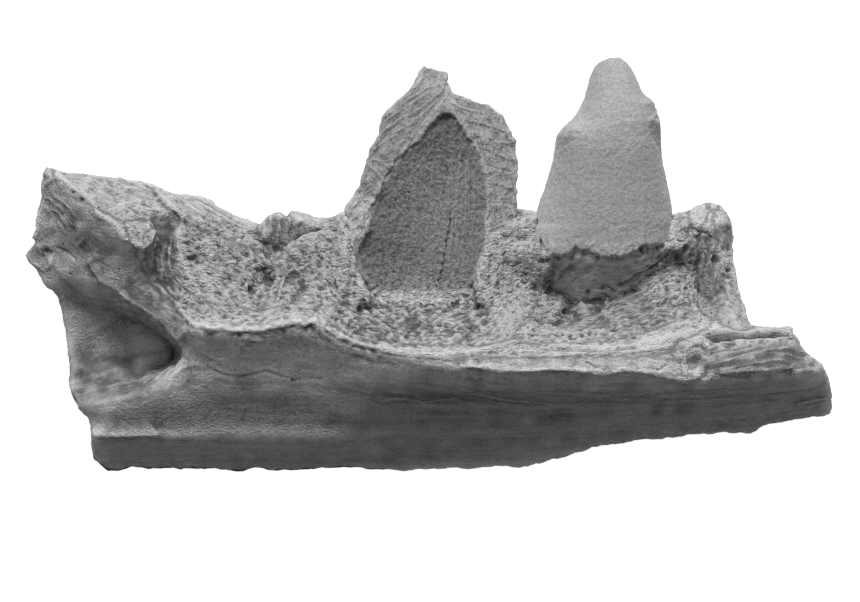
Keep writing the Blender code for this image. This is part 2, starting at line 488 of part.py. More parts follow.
def main():
    for old in list(bpy.data.objects):
        bpy.data.objects.remove(old)
    jaw = relief_solid(
        "jaw_bone", BONE_EDGE, (BONE_FRONT_LINES, BONE_FRONT_SPOTS, bone_rough, BONE_PITS),
        (BONE_BACK_LINES, [], back_rough, BONE_BACK_PITS), BONE_STEP, BONE_BACK_STEP, BONE_TUCK)
    broken = relief_solid(
        "broken_tooth", BROKEN_EDGE, (BROKEN_FRONT_LINES, [], tooth_rough, []),
        (BROKEN_BACK_LINES, [], back_rough, []), TOOTH_STEP, TOOTH_STEP * 1.5, TOOTH_TUCK)
    whole = crown("whole_tooth", WHOLE_STATIONS, WHOLE_FOOT, 0.0)
    wide = [(x, y, low - SOCKET_GAP, high + SOCKET_GAP) for x, y, low, high in grown(BROKEN_EDGE, SOCKET_GAP)]
    deeper = [[(x, y, z - SOCKET_GAP) for x, y, z in line] for line in BROKEN_BACK_LINES]
    rim = [[(x, y, z + SOCKET_GAP) for x, y, z in line] for line in BROKEN_FRONT_LINES[:2]]
    open_top = [[(x, y, CUTTER_TOP) for x, y, z in line] for line in BROKEN_FRONT_LINES[2:]]
    cut_from(jaw, relief_solid(
        "broken_socket", wide, (rim + open_top, [], back_rough, []), (deeper, [], back_rough, []),
        TOOTH_STEP, TOOTH_STEP * 1.5, TOOTH_TUCK))
    cut_from(jaw, crown("whole_socket", WHOLE_STATIONS, WHOLE_FOOT, SOCKET_GAP))
    painted(jaw, BONE_COLOUR, 0.82)
    painted(broken, BROKEN_TOOTH_COLOUR, 0.75)
    painted(whole, WHOLE_TOOTH_COLOUR, 0.62)


main()
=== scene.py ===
import math

import bpy
import numpy as np
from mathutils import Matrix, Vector, bvhtree, kdtree


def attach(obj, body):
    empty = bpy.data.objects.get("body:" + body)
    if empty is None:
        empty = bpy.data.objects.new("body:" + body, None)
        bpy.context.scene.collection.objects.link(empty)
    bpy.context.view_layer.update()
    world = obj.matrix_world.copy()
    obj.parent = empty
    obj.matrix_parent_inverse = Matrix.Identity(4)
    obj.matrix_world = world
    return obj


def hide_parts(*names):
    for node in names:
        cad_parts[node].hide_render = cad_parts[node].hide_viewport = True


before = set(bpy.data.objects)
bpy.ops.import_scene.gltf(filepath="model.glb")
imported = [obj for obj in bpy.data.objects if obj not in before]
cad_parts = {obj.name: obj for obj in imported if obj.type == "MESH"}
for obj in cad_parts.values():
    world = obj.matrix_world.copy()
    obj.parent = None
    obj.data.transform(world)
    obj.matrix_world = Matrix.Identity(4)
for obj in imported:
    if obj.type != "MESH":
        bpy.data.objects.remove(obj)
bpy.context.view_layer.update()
print("frame loaded:", ", ".join(sorted(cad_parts)))

# Pieces are shaped in hundredths of a millimetre. Drawn places are on a flat sheet over the front, from its
# upper left corner: x to the right and y down
workUnit = 0.00001
sheetMiddle = np.array((430.0, 264.5))
# the directions in which smooth noise can rise
spokes = np.array([(1, 1, 0), (-1, 1, 0), (1, -1, 0), (-1, -1, 0), (1, 0, 1), (-1, 0, 1), (1, 0, -1),
                   (-1, 0, -1), (0, 1, 1), (0, -1, 1), (0, 1, -1), (0, -1, -1)], float)
# turns the noise askew, so that no wall lies along its cells
askew = np.array(((0.36, 0.48, -0.80), (-0.80, 0.60, 0.00), (0.48, 0.64, 0.60)))


def scrambled(x, y, z, seed):
    # whole places to numbers without a pattern
    mixed = (x * 374761393 + y * 668265263 + z * 1440662683 + seed * 97531) & 0xFFFFFFFF
    mixed = ((mixed ^ (mixed >> 13)) * 1274126177) & 0xFFFFFFFF
    return mixed ^ (mixed >> 16)


def cloudy(x, y, z, seed):
    # smooth noise from about -1 to 1, one wave to a unit
    place = np.stack(np.broadcast_arrays(x, y, z), -1)
    cell = np.floor(place).astype(np.int64)
    inner = place - cell
    fade = inner ** 3 * (inner * (inner * 6 - 15) + 10)
    total = np.zeros(len(place))
    for corner in range(8):
        step = np.array((corner & 1, corner >> 1 & 1, corner >> 2))
        at = cell + step
        spoke = spokes[scrambled(at[:, 0], at[:, 1], at[:, 2], seed) % len(spokes)]
        weight = np.prod(np.where(step, fade, 1 - fade), axis=1)
        total += weight * np.einsum("ij,ij->i", spoke, inner - step)
    return total


def swirl(x, y, z, seed):
    # two smooth noises, to push places sideways
    return np.stack((cloudy(x, y, z, seed), cloudy(x, y, z, seed + 1)), -1)


def wandering(flat, places, borders):
    # drawn borders stray a little: size of the noise, how far, seed
    x, y = places[:, :2].T
    for size, far, seed in borders:
        flat = flat + far * swirl(x / size, y / size, 0, seed)
    return flat


def noisesOf(places, wanted):
    # smooth noise on a piece, by name: size and seed
    u, v, w = (places @ askew).T
    return {name: cloudy(u / size, v / size, w / size, seed) for name, (size, seed) in wanted.items()}


def ramp(value, low, high):
    share = np.clip((value - low) / (high - low), 0, 1)
    return share * share * (3 - 2 * share)


def blended(fields, amounts):
    # the sum of some fields, each times its amount
    return sum(amount * fields[name] for name, amount in amounts.items())


def craggy(places, warp, crumb, wide, tall, seed):
    # terraces with steep risers, as broken bone has
    count, slope, height = 4.0, 0.16, 1.8
    x, y = (places[:, :2] + 5 * warp).T
    value = (cloudy(x / wide, y / tall, places[:, 2] / wide, seed) + 0.25 * crumb) * count
    whole = np.floor(value)
    return height * ((whole + ramp(value - whole, 0.5 - slope, 0.5 + slope)) / count)


def curved(points, step=3.0):
    # points along a smooth line through the drawn ones
    drawn = np.array(points, float)
    padded = np.vstack((2 * drawn[0] - drawn[1], drawn, 2 * drawn[-1] - drawn[-2]))
    out = []
    for before, start, end, after in zip(padded, padded[1:], padded[2:], padded[3:]):
        count = max(1, int(np.hypot(*(end - start)) / step))
        for t in np.arange(count) / count:
            out.append(0.5 * (2 * start + (end - before) * t
                              + (2 * before - 5 * start + 4 * end - after) * t ** 2
                              + (3 * start - before - 3 * end + after) * t ** 3))
    return np.array(out + [drawn[-1]])


def along(flat, line):
    # how far along a line each point is, how far off it, positive on its left as drawn, the line's length and
    # how near each point is. Past its ends the line carries on straight for the first two
    nearest = np.full(len(flat), 1e9)
    run = np.zeros(len(flat))
    off = np.zeros(len(flat))
    passed = 0.0
    for number, (start, end) in enumerate(zip(line, line[1:])):
        span = end - start
        length = max(float(np.hypot(*span)), 1e-6)
        free = (flat - start) @ span / length ** 2
        share = np.clip(free, 0, 1)
        gap = flat - start - share[:, None] * span
        away = np.hypot(gap[:, 0], gap[:, 1])
        cross = (span[0] * gap[:, 1] - span[1] * gap[:, 0]) / length
        past = (free < 0) & (number == 0) | (free > 1) & (number == len(line) - 2)
        closer = away < nearest
        nearest = np.where(closer, away, nearest)
        run = np.where(closer, passed + np.where(past, free, share) * length, run)
        off = np.where(closer, np.where(past, -cross, -away * np.sign(cross)), off)
        passed += length
    return run, off, passed, nearest


def boxed(places, shape, reach, wanted=True):
    # which places lie within a reach of the box round a shape
    inside = np.all((places > shape.min(0) - reach) & (places < shape.max(0) + reach), axis=1)
    return np.flatnonzero(inside & wanted)


def inset(flat, corners, reach):
    # how far inside a drawn area each point is, below nothing outside, exact up to the reach
    ring = np.array(corners, float)
    depth = np.full(len(flat), -float(reach))
    near = boxed(flat, ring, reach)
    place = flat[near]
    inside = np.zeros(len(near), bool)
    away = np.full(len(near), 1e9)
    for start, end in zip(ring, np.roll(ring, -1, axis=0)):
        span = end - start
        share = np.clip((place - start) @ span / (span @ span), 0, 1)
        gap = place - start - share[:, None] * span
        away = np.minimum(away, np.hypot(gap[:, 0], gap[:, 1]))
        if span[1] != 0:
            crossed = (start[1] > place[:, 1]) != (end[1] > place[:, 1])
            inside ^= crossed & (place[:, 0] < span[0] * (place[:, 1] - start[1]) / span[1] + start[0])
    depth[near] = np.where(inside, away, -away)
    return depth


def within(flat, corners, soft):
    # 1 inside a drawn area and 0 outside, with a soft border
    return ramp(inset(flat, corners, 2 * soft), -soft, soft)


def deselectAll():
    for other in bpy.context.selected_objects:
        other.select_set(False)


def onlySelect(piece):
    deselectAll()
    piece.select_set(True)
    bpy.context.view_layer.objects.active = piece


def applied(piece, kind, **settings):
    onlySelect(piece)
    change = piece.modifiers.new(kind.lower(), kind)
    for name, value in settings.items():
        setattr(change, name, value)
    bpy.ops.object.modifier_apply(modifier=change.name)


def scaled(piece, size):
    onlySelect(piece)
    piece.scale = (size, size, size)
    bpy.ops.object.transform_apply(location=False, rotation=False, scale=True)


def vectors(piece, kind):
    flat = np.empty(len(piece.data.vertices) * 3, np.float32)
    piece.data.vertices.foreach_get(kind, flat)
    return flat.reshape(-1, 3).astype(float)


def moved(piece, places):
    piece.data.vertices.foreach_set("co", places.astype(np.float32).ravel())
    piece.data.update()


def weighted(piece, name, values, levels=20):
    # a vertex group in even steps
    group = piece.vertex_groups.new(name=name)
    level = np.rint(np.clip(values, 0, 1) * levels).astype(int)
    for number in range(1, levels + 1):
        group.add(np.flatnonzero(level == number).tolist(), number / levels, "REPLACE")


def remeshed(piece, voxel):
    applied(piece, "REMESH", mode="VOXEL", voxel_size=voxel, adaptivity=0.0)


def smoothed(piece, rounds, share=None):
    # all over, or by a share for each vertex
    settings = {}
    if share is not None:
        weighted(piece, "calm", share)
        settings["vertex_group"] = "calm"
    applied(piece, "SMOOTH", factor=0.5, iterations=rounds, **settings)
    piece.vertex_groups.clear()


def thinned(piece, faces, **settings):
    # down to a number of triangles, of which each square face makes two
    share = faces / (2 * len(piece.data.polygons))
    if share < 1:
        applied(piece, "DECIMATE", ratio=share, **settings)
    piece.data.validate()  # drops a face that thinning has doubled
    print(piece.name, "has", len(piece.data.polygons), "faces")


def roughedOut(node, name, voxel):
    # a closed even skin over a solid of the frame, in working units
    piece = bpy.data.objects.new(name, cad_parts[node].data.copy())
    bpy.context.scene.collection.objects.link(piece)
    piece.data.materials.clear()
    scaled(piece, 1 / workUnit)
    bpy.ops.object.mode_set(mode="EDIT")
    bpy.ops.mesh.select_all(action="SELECT")
    bpy.ops.mesh.remove_doubles(threshold=0.05)
    bpy.ops.object.mode_set(mode="OBJECT")
    remeshed(piece, voxel)
    return piece


def onSheet(places):
    return np.stack((places[:, 0] + sheetMiddle[0], sheetMiddle[1] - places[:, 1]), -1)


def frontOf(piece):
    # 1 where a piece faces the front, 0 where it faces away
    return ramp(vectors(piece, "normal")[:, 2], -0.15, 0.25)


def besideLine(flat, front, points, reach, fade):
    # the points near a drawn line, how far off it they are, and a weight that fades out at its ends
    line = curved(points)
    near = boxed(flat, line, reach, front > 0.05)
    run, off, length, _ = along(flat[near], line)
    return near, off, ramp(np.minimum(run, length - run), -0.5, min(fade, 0.3 * length))


def strokes(flat, front, marks):
    # ridges and grooves along drawn lines: half width, height, points
    lift = np.zeros(len(flat))
    for width, height, points in marks:
        near, off, ends = besideLine(flat, front, points, 3.2 * width, 2.5 * width)
        lift[near] += height * np.exp(-(off / width) ** 2) * ends * front[near]
    return lift


def steps(flat, front, marks):
    # scarps along drawn lines: the side on the left is raised, the other is lowered
    lift = np.zeros(len(flat))
    for width, reach, height, points in marks:
        near, off, ends = besideLine(flat, front, points, 2 * reach, reach)
        lift[near] += height * np.tanh(off / width) * np.exp(-(off / reach) ** 2) * ends * front[near]
    return lift


def hollows(flat, front, marks):
    # single pits: x, y, half width, depth
    lift = np.zeros(len(flat))
    for x, y, width, depth in marks:
        gap = flat - (x, y)
        away = (gap[:, 0] ** 2 + gap[:, 1] ** 2) / width ** 2
        lift -= depth * np.where(away < 1.6, np.exp(-(away * 1.3) ** 2), 0) * front
    return lift


def sloped(flat, first, last, past=0.0):
    # the height on a slope through two places, level past its ends, and how far off the line between them
    start, span = np.array(first[:2], float), np.subtract(last[:2], first[:2])
    share = np.clip((flat - start) @ span / (span @ span), -past, 1 + past)
    across = (flat - start) @ np.array((-span[1], span[0])) / math.hypot(*span)
    return first[2] + (last[2] - first[2]) * share, across


def tilts(flat, front, marks):
    # flat faces turned about: corners, soft border, then two places with the lift straight up at each
    lift = np.zeros(len(flat))
    for corners, soft, first, last in marks:
        lift += within(flat, corners, soft) * front * sloped(flat, first, last, 0.2)[0]
    return lift


def filled(flat, heights, lowest, marks):
    # slopes that a surface is brought up, down or simply to: how, corners, soft border, how much lower away
    # from the line between two places, then the two places with the height at each
    out = heights.copy()
    for how, corners, soft, bow, first, last in marks:
        mask = within(flat, corners, soft) * ramp(heights, lowest, lowest + 10)
        slope, across = sloped(flat, first, last)
        slope = slope - bow * across ** 2
        if how == "raise":
            slope = np.maximum(slope, out)
        elif how == "lower":
            slope = np.minimum(slope, out)
        out += mask * (slope - out)
    return out


def stained(flat, marks):
    # areas of painted shade and painted light, with some of the bone's own tone: corners, soft border, tone
    tone = np.ones(len(flat))
    for corners, soft, value in marks:
        tone *= 1 + (value - 1) * within(flat, corners, soft)
    return tone


def outlined(places, outline):
    # shifts a piece sideways so that its edges at each height meet the drawn ones: y, left, right
    flat = onSheet(places)
    rows = np.array(outline, float)
    top, bottom = rows[0, 0], rows[-1, 0]
    bandHeight, mostShift = 2.0, 8
    bands = np.arange(top, bottom + bandHeight, bandHeight)
    number = np.clip(np.rint((flat[:, 1] - top) / bandHeight).astype(int), 0, len(bands) - 1)
    left = np.full(len(bands), 1e9)
    right = np.full(len(bands), -1e9)
    np.minimum.at(left, number, flat[:, 0])
    np.maximum.at(right, number, flat[:, 0])
    evened = [np.convolve(np.pad(side, 1, "edge"), np.ones(3) / 3, "valid") for side in (left, right)]
    nowLeft, nowRight = (np.interp(flat[:, 1], bands, side) for side in evened)
    newLeft, newRight = (np.interp(flat[:, 1], rows[:, 0], rows[:, column]) for column in (1, 2))
    share = np.clip((flat[:, 0] - nowLeft) / np.maximum(nowRight - nowLeft, 1), 0, 1)
    shift = (newLeft - nowLeft) * (1 - share) + (newRight - nowRight) * share
    held = ramp(flat[:, 1], top - 4, top) * (1 - ramp(flat[:, 1], bottom - 10, bottom))
    out = places.copy()
    out[:, 0] += np.clip(shift, -mostShift, mostShift) * held
    return out


def closeness(flat, lines, reach):
    # 1 on drawn lines, fading out beside them
    share = np.zeros(len(flat))
    for points in lines:
        line = curved(points)
        near = boxed(flat, line, 2 * reach)
        away = along(flat[near], line)[3]
        share[near] = np.maximum(share[near], np.exp(-(away / reach) ** 2))
    return share


def layered(flat, height, front, guides, seed):
    # grain that follows drawn lines, as the layers of bone do
    total = np.zeros(len(flat))
    power = np.zeros(len(flat))
    for number, (reach, spacing, length, strength, points) in enumerate(guides):
        line = curved(points)
        near = boxed(flat, line, 2 * reach, front > 0.02)
        run, off, _, away = along(flat[near], line)
        weight = np.exp(-(away / reach) ** 2)
        keep = weight > 0.03
        near, run, off, weight = near[keep], run[keep], off[keep], weight[keep]
        tall = height[near]
        bend = cloudy(run / (2 * length), off / (3 * spacing), tall / 30, seed + number)
        across = off / spacing + 1.1 * bend
        wide = cloudy(run / length, across / 2, tall / (3 * spacing), seed + 20 + number)
        fine = cloudy(run / length * 1.6, across, tall / (2 * spacing), seed + 40 + number)
        value = spacing * strength * (0.42 * (0.5 - 2 * np.abs(wide)) + 0.24 * fine)
        total[near] += weight * value
        power[near] += weight ** 2
    return total / np.sqrt(np.maximum(power, 0.35))


def flowOf(flat, height, guides):
    # the nearest grain line's own coordinates, for the materials: along, across, up. The lines start far
    # apart, so that each has its own part of a pattern
    farApart = 200
    strongest = np.full(len(flat), 0.02)
    flow = np.stack((flat[:, 0], flat[:, 1], height), -1)
    for number, (reach, *_, points) in enumerate(guides):
        line = curved(points)
        near = boxed(flat, line, 2 * reach)
        run, off, _, away = along(flat[near], line)
        weight = np.exp(-(away / reach) ** 2)
        best = weight > strongest[near]
        strongest[near] = np.where(best, weight, strongest[near])
        mapped = np.stack((run + farApart * number, off, height[near]), -1)
        flow[near] = np.where(best[:, None], mapped, flow[near])
    return flow


def snug(places, neighbour, reach, depth, ragged):
    # draws the skin of a piece onto and just into its neighbour's sides where the two nearly touch, unevenly
    tree = bvhtree.BVHTree.FromObject(neighbour, bpy.context.evaluated_depsgraph_get())
    out = places.copy()
    near = boxed(places, vectors(neighbour, "co"), reach)
    x, y, z = places[near].T / 5
    deeper = depth + ragged * np.clip(0.3 + 1.4 * cloudy(x, y, z, 71), 0, 1)
    for number, sunk in zip(near, deeper):
        spot, facing, _, away = tree.find_nearest(Vector(places[number]), reach)
        if spot is None or facing[2] > 0.6:
            continue
        pull = 1 - ramp(away, 0.55 * reach, reach)
        target = np.array(spot) - sunk * np.array(facing)
        out[number] += (target - places[number]) * pull
    return out


def pores(places, chance, count, sizes, depth, stretch, turn, seed):
    # small holes scattered where the chance is high, longer along the grain than across
    dice = np.random.default_rng(seed)
    lift = np.zeros(len(places))
    odds = chance / chance.sum()
    picked = dice.choice(len(places), size=count, replace=False, p=odds)
    tree = kdtree.KDTree(len(places))
    for number, place in enumerate(places):
        tree.insert(place, number)
    tree.balance()
    for centre in picked:
        size = sizes[0] + (sizes[1] - sizes[0]) * dice.random() ** 2
        angle = turn + dice.normal() * 0.35
        found = tree.find_range(places[centre], size * stretch * 1.5)
        near = np.array([item[1] for item in found])
        gap = places[near] - places[centre]
        run = gap[:, 0] * math.cos(angle) + gap[:, 1] * math.sin(angle)
        side = np.sqrt(np.maximum((gap ** 2).sum(1) - run ** 2, 0))
        away = np.hypot(run / stretch, side) / size
        lift[near] -= depth * size * np.exp(-(away * 1.15) ** 4)
    return lift


def bared(piece, rounds):
    # how far each vertex stands out from its surroundings
    places = vectors(piece, "co")
    ends = np.empty(len(piece.data.edges) * 2, np.int64)
    piece.data.edges.foreach_get("vertices", ends)
    ends = ends.reshape(-1, 2)
    count = len(places)
    shared = np.bincount(ends.ravel(), minlength=count).clip(1)[:, None]
    around = places.copy()
    for _ in range(rounds):
        total = np.stack([np.bincount(ends[:, 0], side[ends[:, 1]], count)
                          + np.bincount(ends[:, 1], side[ends[:, 0]], count) for side in around.T], -1)
        around = 0.5 * around + 0.5 * total / shared
    return np.einsum("ij,ij->i", places - around, vectors(piece, "normal"))


def noted(piece, **fields):
    # numbers for each vertex, which the materials read, with how far it stands out, close by and further off,
    # for the painted highlight on edges and the painted shade in hollows
    fields.update(edge=bared(piece, 2), hollow=bared(piece, 14))
    for name, values in fields.items():
        values = np.asarray(values, np.float32)
        kind, part = ("FLOAT", "value") if values.ndim == 1 else ("FLOAT_VECTOR", "vector")
        layer = piece.data.attributes.new(name, kind, "POINT")
        layer.data.foreach_set(part, values.ravel())
# Jaw bone: what a user would change
boneLook = {
    "voxel": 1.7,
    "faces": 194000,
    # rounds of smoothing: all over, then where the bone is plain
    "smoothing": 6,
    "calming": 80,
    # fills leave the skin below this height alone
    "lowest": 40,
    # how far the borders of fills and of the painted shade and light stray: size of the noise, how far, seed
    "fillBorders": [(14, 2.5, 7), (5, 1.2, 9)],
    "stainBorders": [(12, 2.5, 7)],
    # how much the bone beside scarps keeps its shape, and how near it has to be
    "scarpsKept": (0.9, 5.0),
    # how much each face has to look up to be no side: from, fully
    "sideSlope": (0.15, 0.50),
    # noise: size and seed
    "noises": {"lump": (18, 11), "crumb": (7, 12), "grit": (3.8, 13), "heap": (12, 20)},
    # how much of each noise the broken bone and the sides get, and of the grit the plain bone
    "brokenNoise": {"lump": 0.45, "crag": 0.60, "crust": 0.35, "grit": 0.55, "ridge": 2.2},
    "sideNoise": {"lump": 1.6, "crag": 0.8, "crumb": 0.9, "grit": 0.5, "stripe": 0.2},
    "plainGrit": 0.08,
    # how much plainer the calm areas are, and how much rougher, more layered and more heaped the crumbly one
    "calmer": 0.7,
    "crumblier": 0.5,
    "moreLayers": 0.3,
    "heaps": 2.6,
    # how much each area keeps its edges, is rough, and has single pores
    "kept": {"spongy": 1, "facet": 1, "leftFace": 1, "knob": 1, "band": 0.8},
    "rough": {"spongy": 1, "facet": 0.20, "leftFace": 0.10, "knob": 0.60},
    "porous": {"openBone": 1, "facet": 0.12, "leftFace": 0.04},
    "pores": {"count": 380, "sizes": (1.0, 2.3), "depth": 0.85, "stretch": 2.3, "turn": -0.2, "seed": 21},
    # the worn lower edge of the sides: from and down to this height, how much, how unevenly
    "wear": (88, 62, 1.8, 3.0),
    # the skin beside the teeth: how near, how deep, how unevenly
    "snug": (6.0, 1.0, 2.0),
    # painted light: a paler tone on the sides and back, away from the front, where little light falls; then
    # how dark the painted shade along the fine cracks is, and how wide
    "paintedBackLight": 1.25,
    "crackShade": 0.6,
    "crackWidth": 1.2,
    # drawn areas of the front
    "areas": {
        "spongy": [(184, 240), (206, 214), (262, 232), (300, 226), (345, 218), (352, 240), (362, 284),
                   (376, 304), (474, 300), (478, 266), (487, 234), (500, 220), (516, 211), (528, 211),
                   (540, 222), (545, 236), (548, 262), (650, 260), (664, 246), (672, 208), (688, 208),
                   (692, 232), (700, 262), (692, 292), (720, 318), (690, 330), (600, 342), (500, 344),
                   (430, 349), (380, 345), (335, 330), (318, 316), (250, 324), (196, 318), (176, 296),
                   (190, 262)],
        "facet": [(44, 165), (120, 176), (200, 194), (183, 219), (158, 231), (146, 250), (123, 240),
                  (95, 210), (70, 186), (42, 173)],
        "leftFace": [(42, 173), (70, 186), (95, 210), (123, 240), (146, 250), (164, 240), (170, 290),
                     (190, 318), (200, 345), (186, 353), (162, 324), (131, 303), (100, 281), (60, 272),
                     (20, 256), (36, 200)],
        "band": [(350, 338), (384, 346), (450, 350), (512, 342), (600, 344), (680, 326), (704, 326),
                 (795, 322), (832, 370), (806, 374), (684, 384), (600, 376), (500, 374), (430, 366),
                 (384, 356)],
        "knob": [(674, 204), (722, 200), (740, 240), (742, 300), (750, 322), (706, 322), (694, 296),
                 (690, 250)],
        "calmPit": [(548, 268), (562, 258), (606, 257), (642, 262), (640, 274), (604, 288), (584, 300),
                    (566, 298), (550, 286)],
        "calmKnob": [(264, 212), (298, 212), (322, 228), (296, 241), (284, 250), (268, 246), (260, 238)],
        "calmFace": [(151, 210), (157, 203), (164, 203), (170, 208), (178, 214), (184, 221), (180, 228),
                     (172, 236), (160, 240), (153, 230)],
        "crumbly": [(352, 300), (480, 302), (500, 340), (430, 350), (380, 346), (345, 330)],
    },
    # fine cracks, with painted shade along them
    "cracks": [
        [(676, 241), (684, 240), (690, 236), (698, 236), (704, 232), (713, 238)],
        [(691, 227), (697, 230), (703, 233)],
        [(628, 283), (636, 277), (645, 272), (650, 268), (656, 264), (662, 259), (669, 250)],
        [(719, 276), (726, 275), (733, 275)], [(358, 250), (357, 254)], [(360, 259), (361, 263)],
    ],
    # grain: reach, spacing of the layers, their length, strength, points
    "grain": [
        (20, 3.6, 37, 0.63, [(70, 184), (110, 188), (150, 196), (185, 206), (215, 218), (245, 230),
                             (268, 238)]),
        (15, 4.0, 48, 0.62, [(158, 240), (160, 262), (168, 284), (182, 302), (206, 314)]),
        (40, 4.3, 13, 1.09, [(178, 252), (210, 264), (240, 276), (272, 296)]),
        (16, 3.3, 18, 1.03, [(186, 308), (215, 317), (250, 319), (285, 311), (318, 300)]),
        (30, 4.6, 14, 1.09, [(284, 240), (300, 262), (318, 285), (340, 310), (362, 328)]),
        (26, 4.3, 12, 1.03, [(352, 304), (385, 316), (420, 326), (455, 328), (485, 318)]),
        (34, 4.3, 16, 1.03, [(478, 336), (505, 305), (530, 280), (552, 258), (560, 240)]),
        (30, 4.3, 19, 1.09, [(552, 302), (575, 287), (600, 275), (640, 262), (672, 246)]),
        (20, 3.6, 21, 0.98, [(530, 338), (580, 336), (625, 326), (660, 306), (690, 272), (704, 236)]),
        (11, 2.8, 56, 0.62, [(330, 330), (350, 342), (385, 350), (430, 353), (480, 349), (540, 346),
                             (600, 346), (650, 340), (690, 326)]),
        (15, 4.3, 48, 0.69, [(690, 348), (720, 352), (760, 348), (800, 344)]),
        (9, 4.2, 55, 0.35, [(464, 362), (520, 366), (580, 365), (640, 368), (700, 372), (760, 366),
                            (806, 362)]),
        (26, 4.4, 70, 0.24, [(200, 352), (300, 356), (380, 372), (470, 384), (600, 390), (720, 388),
                             (810, 380)]),
        (40, 5.0, 90, 0.12, [(95, 424), (300, 428), (560, 424), (826, 404)]),
        (22, 6.0, 44, 0.16, [(75, 398), (110, 392), (145, 380), (175, 364)]),
        (26, 6.0, 34, 0.14, [(70, 352), (100, 340), (140, 322), (160, 330)]),
        (24, 4.0, 32, 0.34, [(48, 196), (66, 212), (84, 232), (104, 254), (126, 280)]),
        (14, 3.6, 19, 0.32, [(100, 264), (130, 284), (156, 306), (176, 330)]),
        (9, 3.6, 20, 0.36, [(699, 215), (698, 240), (701, 270), (708, 300)]),
        (10, 3.3, 19, 0.58, [(722, 222), (723, 260), (731, 300), (742, 318)]),
    ],
    # faces turned up or down: corners, soft border, place and lift at one end, then at the other
    "tilts": [
        ([(284, 294), (286, 282), (292, 272), (301, 271), (306, 278), (303, 286), (308, 294), (296, 297)],
         1.5, (296, 270, 1), (297, 296, -3)),
        ([(347, 320), (362, 322), (390, 328), (386, 340), (366, 338), (348, 332)], 2, (366, 320, 3),
         (368, 340, -4)),
        ([(520, 316), (545, 310), (562, 300), (580, 304), (580, 320), (560, 330), (535, 329)], 3,
         (550, 303, 2), (552, 329, -6)),
        ([(713, 226), (722, 220), (731, 222), (735, 250), (722, 250), (716, 238)], 2, (722, 222, 1),
         (724, 250, -3)),
        ([(688, 350), (700, 346), (703, 354), (695, 368), (687, 370), (685, 358)], 1.5, (698, 346, 2),
         (691, 370, -3)),
        ([(704, 344), (795, 342), (812, 364), (790, 373), (700, 378)], 4, (750, 342, 4), (750, 376, -7)),
        ([(60, 445), (340, 440), (400, 470), (340, 500), (60, 500)], 20, (200, 444, 2), (200, 474, -7)),
        ([(80, 366), (150, 362), (165, 376), (138, 392), (93, 402)], 14, (120, 366, 5), (120, 402, -7)),
        ([(110, 404), (170, 392), (330, 396), (360, 424), (110, 432)], 18, (220, 392, 4), (220, 432, -6)),
    ],
    # edges moved sideways: corners, soft border, to the right, upward
    "pulls": [
        ([(260, 206), (284, 204), (284, 226), (262, 228)], 4, -1.5, 5),
        ([(22, 244), (42, 244), (44, 266), (24, 268)], 4, -3.5, 0),
    ],
    # slopes: raise, lower or replace, corners, soft border, bow, place and height at one end, then at
    # the other
    "fills": [
        ("raise", [(504, 250), (516, 244), (540, 244), (554, 248), (556, 262), (550, 276), (540, 287),
                   (526, 287), (510, 276)], 8, 0.0, (552, 246, 162), (530, 286, 136)),
        ("raise", [(548, 252), (556, 243), (600, 240), (640, 236), (664, 236), (672, 250), (662, 278),
                   (640, 296), (612, 312), (590, 318), (568, 316), (552, 304), (546, 280)], 8, 0.006,
         (600, 254, 166), (600, 302, 127)),
        ("raise", [(630, 240), (668, 236), (670, 256), (662, 270), (640, 270), (628, 262)], 3, 0.0,
         (640, 248, 158), (664, 267, 131)),
        ("raise", [(534, 246), (552, 250), (562, 262), (558, 282), (546, 292), (534, 284)], 4, 0.0,
         (544, 250, 154), (552, 288, 124)),
        ("lower", [(157, 199), (164, 201), (170, 206), (179, 213), (186, 220), (181, 229), (173, 237),
                   (160, 238), (152, 228), (151, 212)], 1.5, 0.0, (174, 210, 172), (158, 232, 155)),
        ("raise", [(152, 230), (180, 230), (184, 262), (176, 292), (156, 290)], 4, 0.0, (165, 232, 164),
         (165, 290, 152)),
        ("raise", [(94, 300), (150, 312), (180, 345), (172, 376), (130, 382), (90, 378)], 11, 0.0,
         (100, 345, 104), (172, 350, 95)),
        ("raise", [(257, 234), (293, 234), (293, 259), (257, 261)], 3, 0.0, (276, 240, 109), (276, 256, 117)),
        ("raise", [(660, 238), (696, 236), (698, 258), (688, 270), (660, 270)], 4, 0.0, (672, 240, 145),
         (676, 264, 130)),
        ("raise", [(512, 224), (526, 216), (542, 214), (545, 231), (540, 242), (548, 262), (530, 272),
                   (512, 264)], 5, 0.0, (532, 220, 134), (532, 258, 140)),
        ("raise", [(662, 208), (678, 208), (682, 250), (663, 252), (666, 240), (665, 226)], 3, 0.0,
         (670, 214, 124), (670, 248, 150)),
        ("raise", [(338, 226), (350, 226), (354, 243), (357, 252), (358, 262), (359, 270), (363, 279),
                   (368, 288), (374, 296), (372, 306), (338, 306)], 2, 0.0, (345, 226, 131), (345, 290, 153)),
        ("raise", [(489, 235), (500, 228), (514, 222), (518, 240), (502, 262), (490, 304), (478, 306),
                   (474, 294), (472, 282), (474, 272), (478, 261), (484, 247)], 2, 0.0, (496, 228, 138),
         (484, 290, 150)),
        ("raise", [(364, 298), (385, 295), (400, 300), (415, 296), (428, 299), (440, 294), (455, 297),
                   (470, 290), (482, 296), (486, 318), (360, 318)], 3, 0.0, (420, 294, 122), (420, 312, 132)),
        ("replace", [(702, 331), (720, 329), (756, 329), (778, 328), (797, 329), (794, 339), (756, 342),
                     (712, 346)], 1.5, 0.0, (740, 330, 184), (741, 342, 177)),
        ("raise", [(688, 238), (722, 238), (724, 300), (694, 302)], 6, 0.0, (690, 266, 127), (724, 266, 109)),
        ("replace", [(265, 210), (286, 208), (297, 220), (296, 238), (284, 249), (270, 244), (261, 238)], 1.5,
         0.0, (276, 214, 127), (281, 249, 111)),
        ("replace", [(297, 216), (304, 221), (316, 227), (326, 229), (312, 234), (297, 240), (295, 226)], 1.5,
         0.0, (304, 218, 122), (308, 236, 112)),
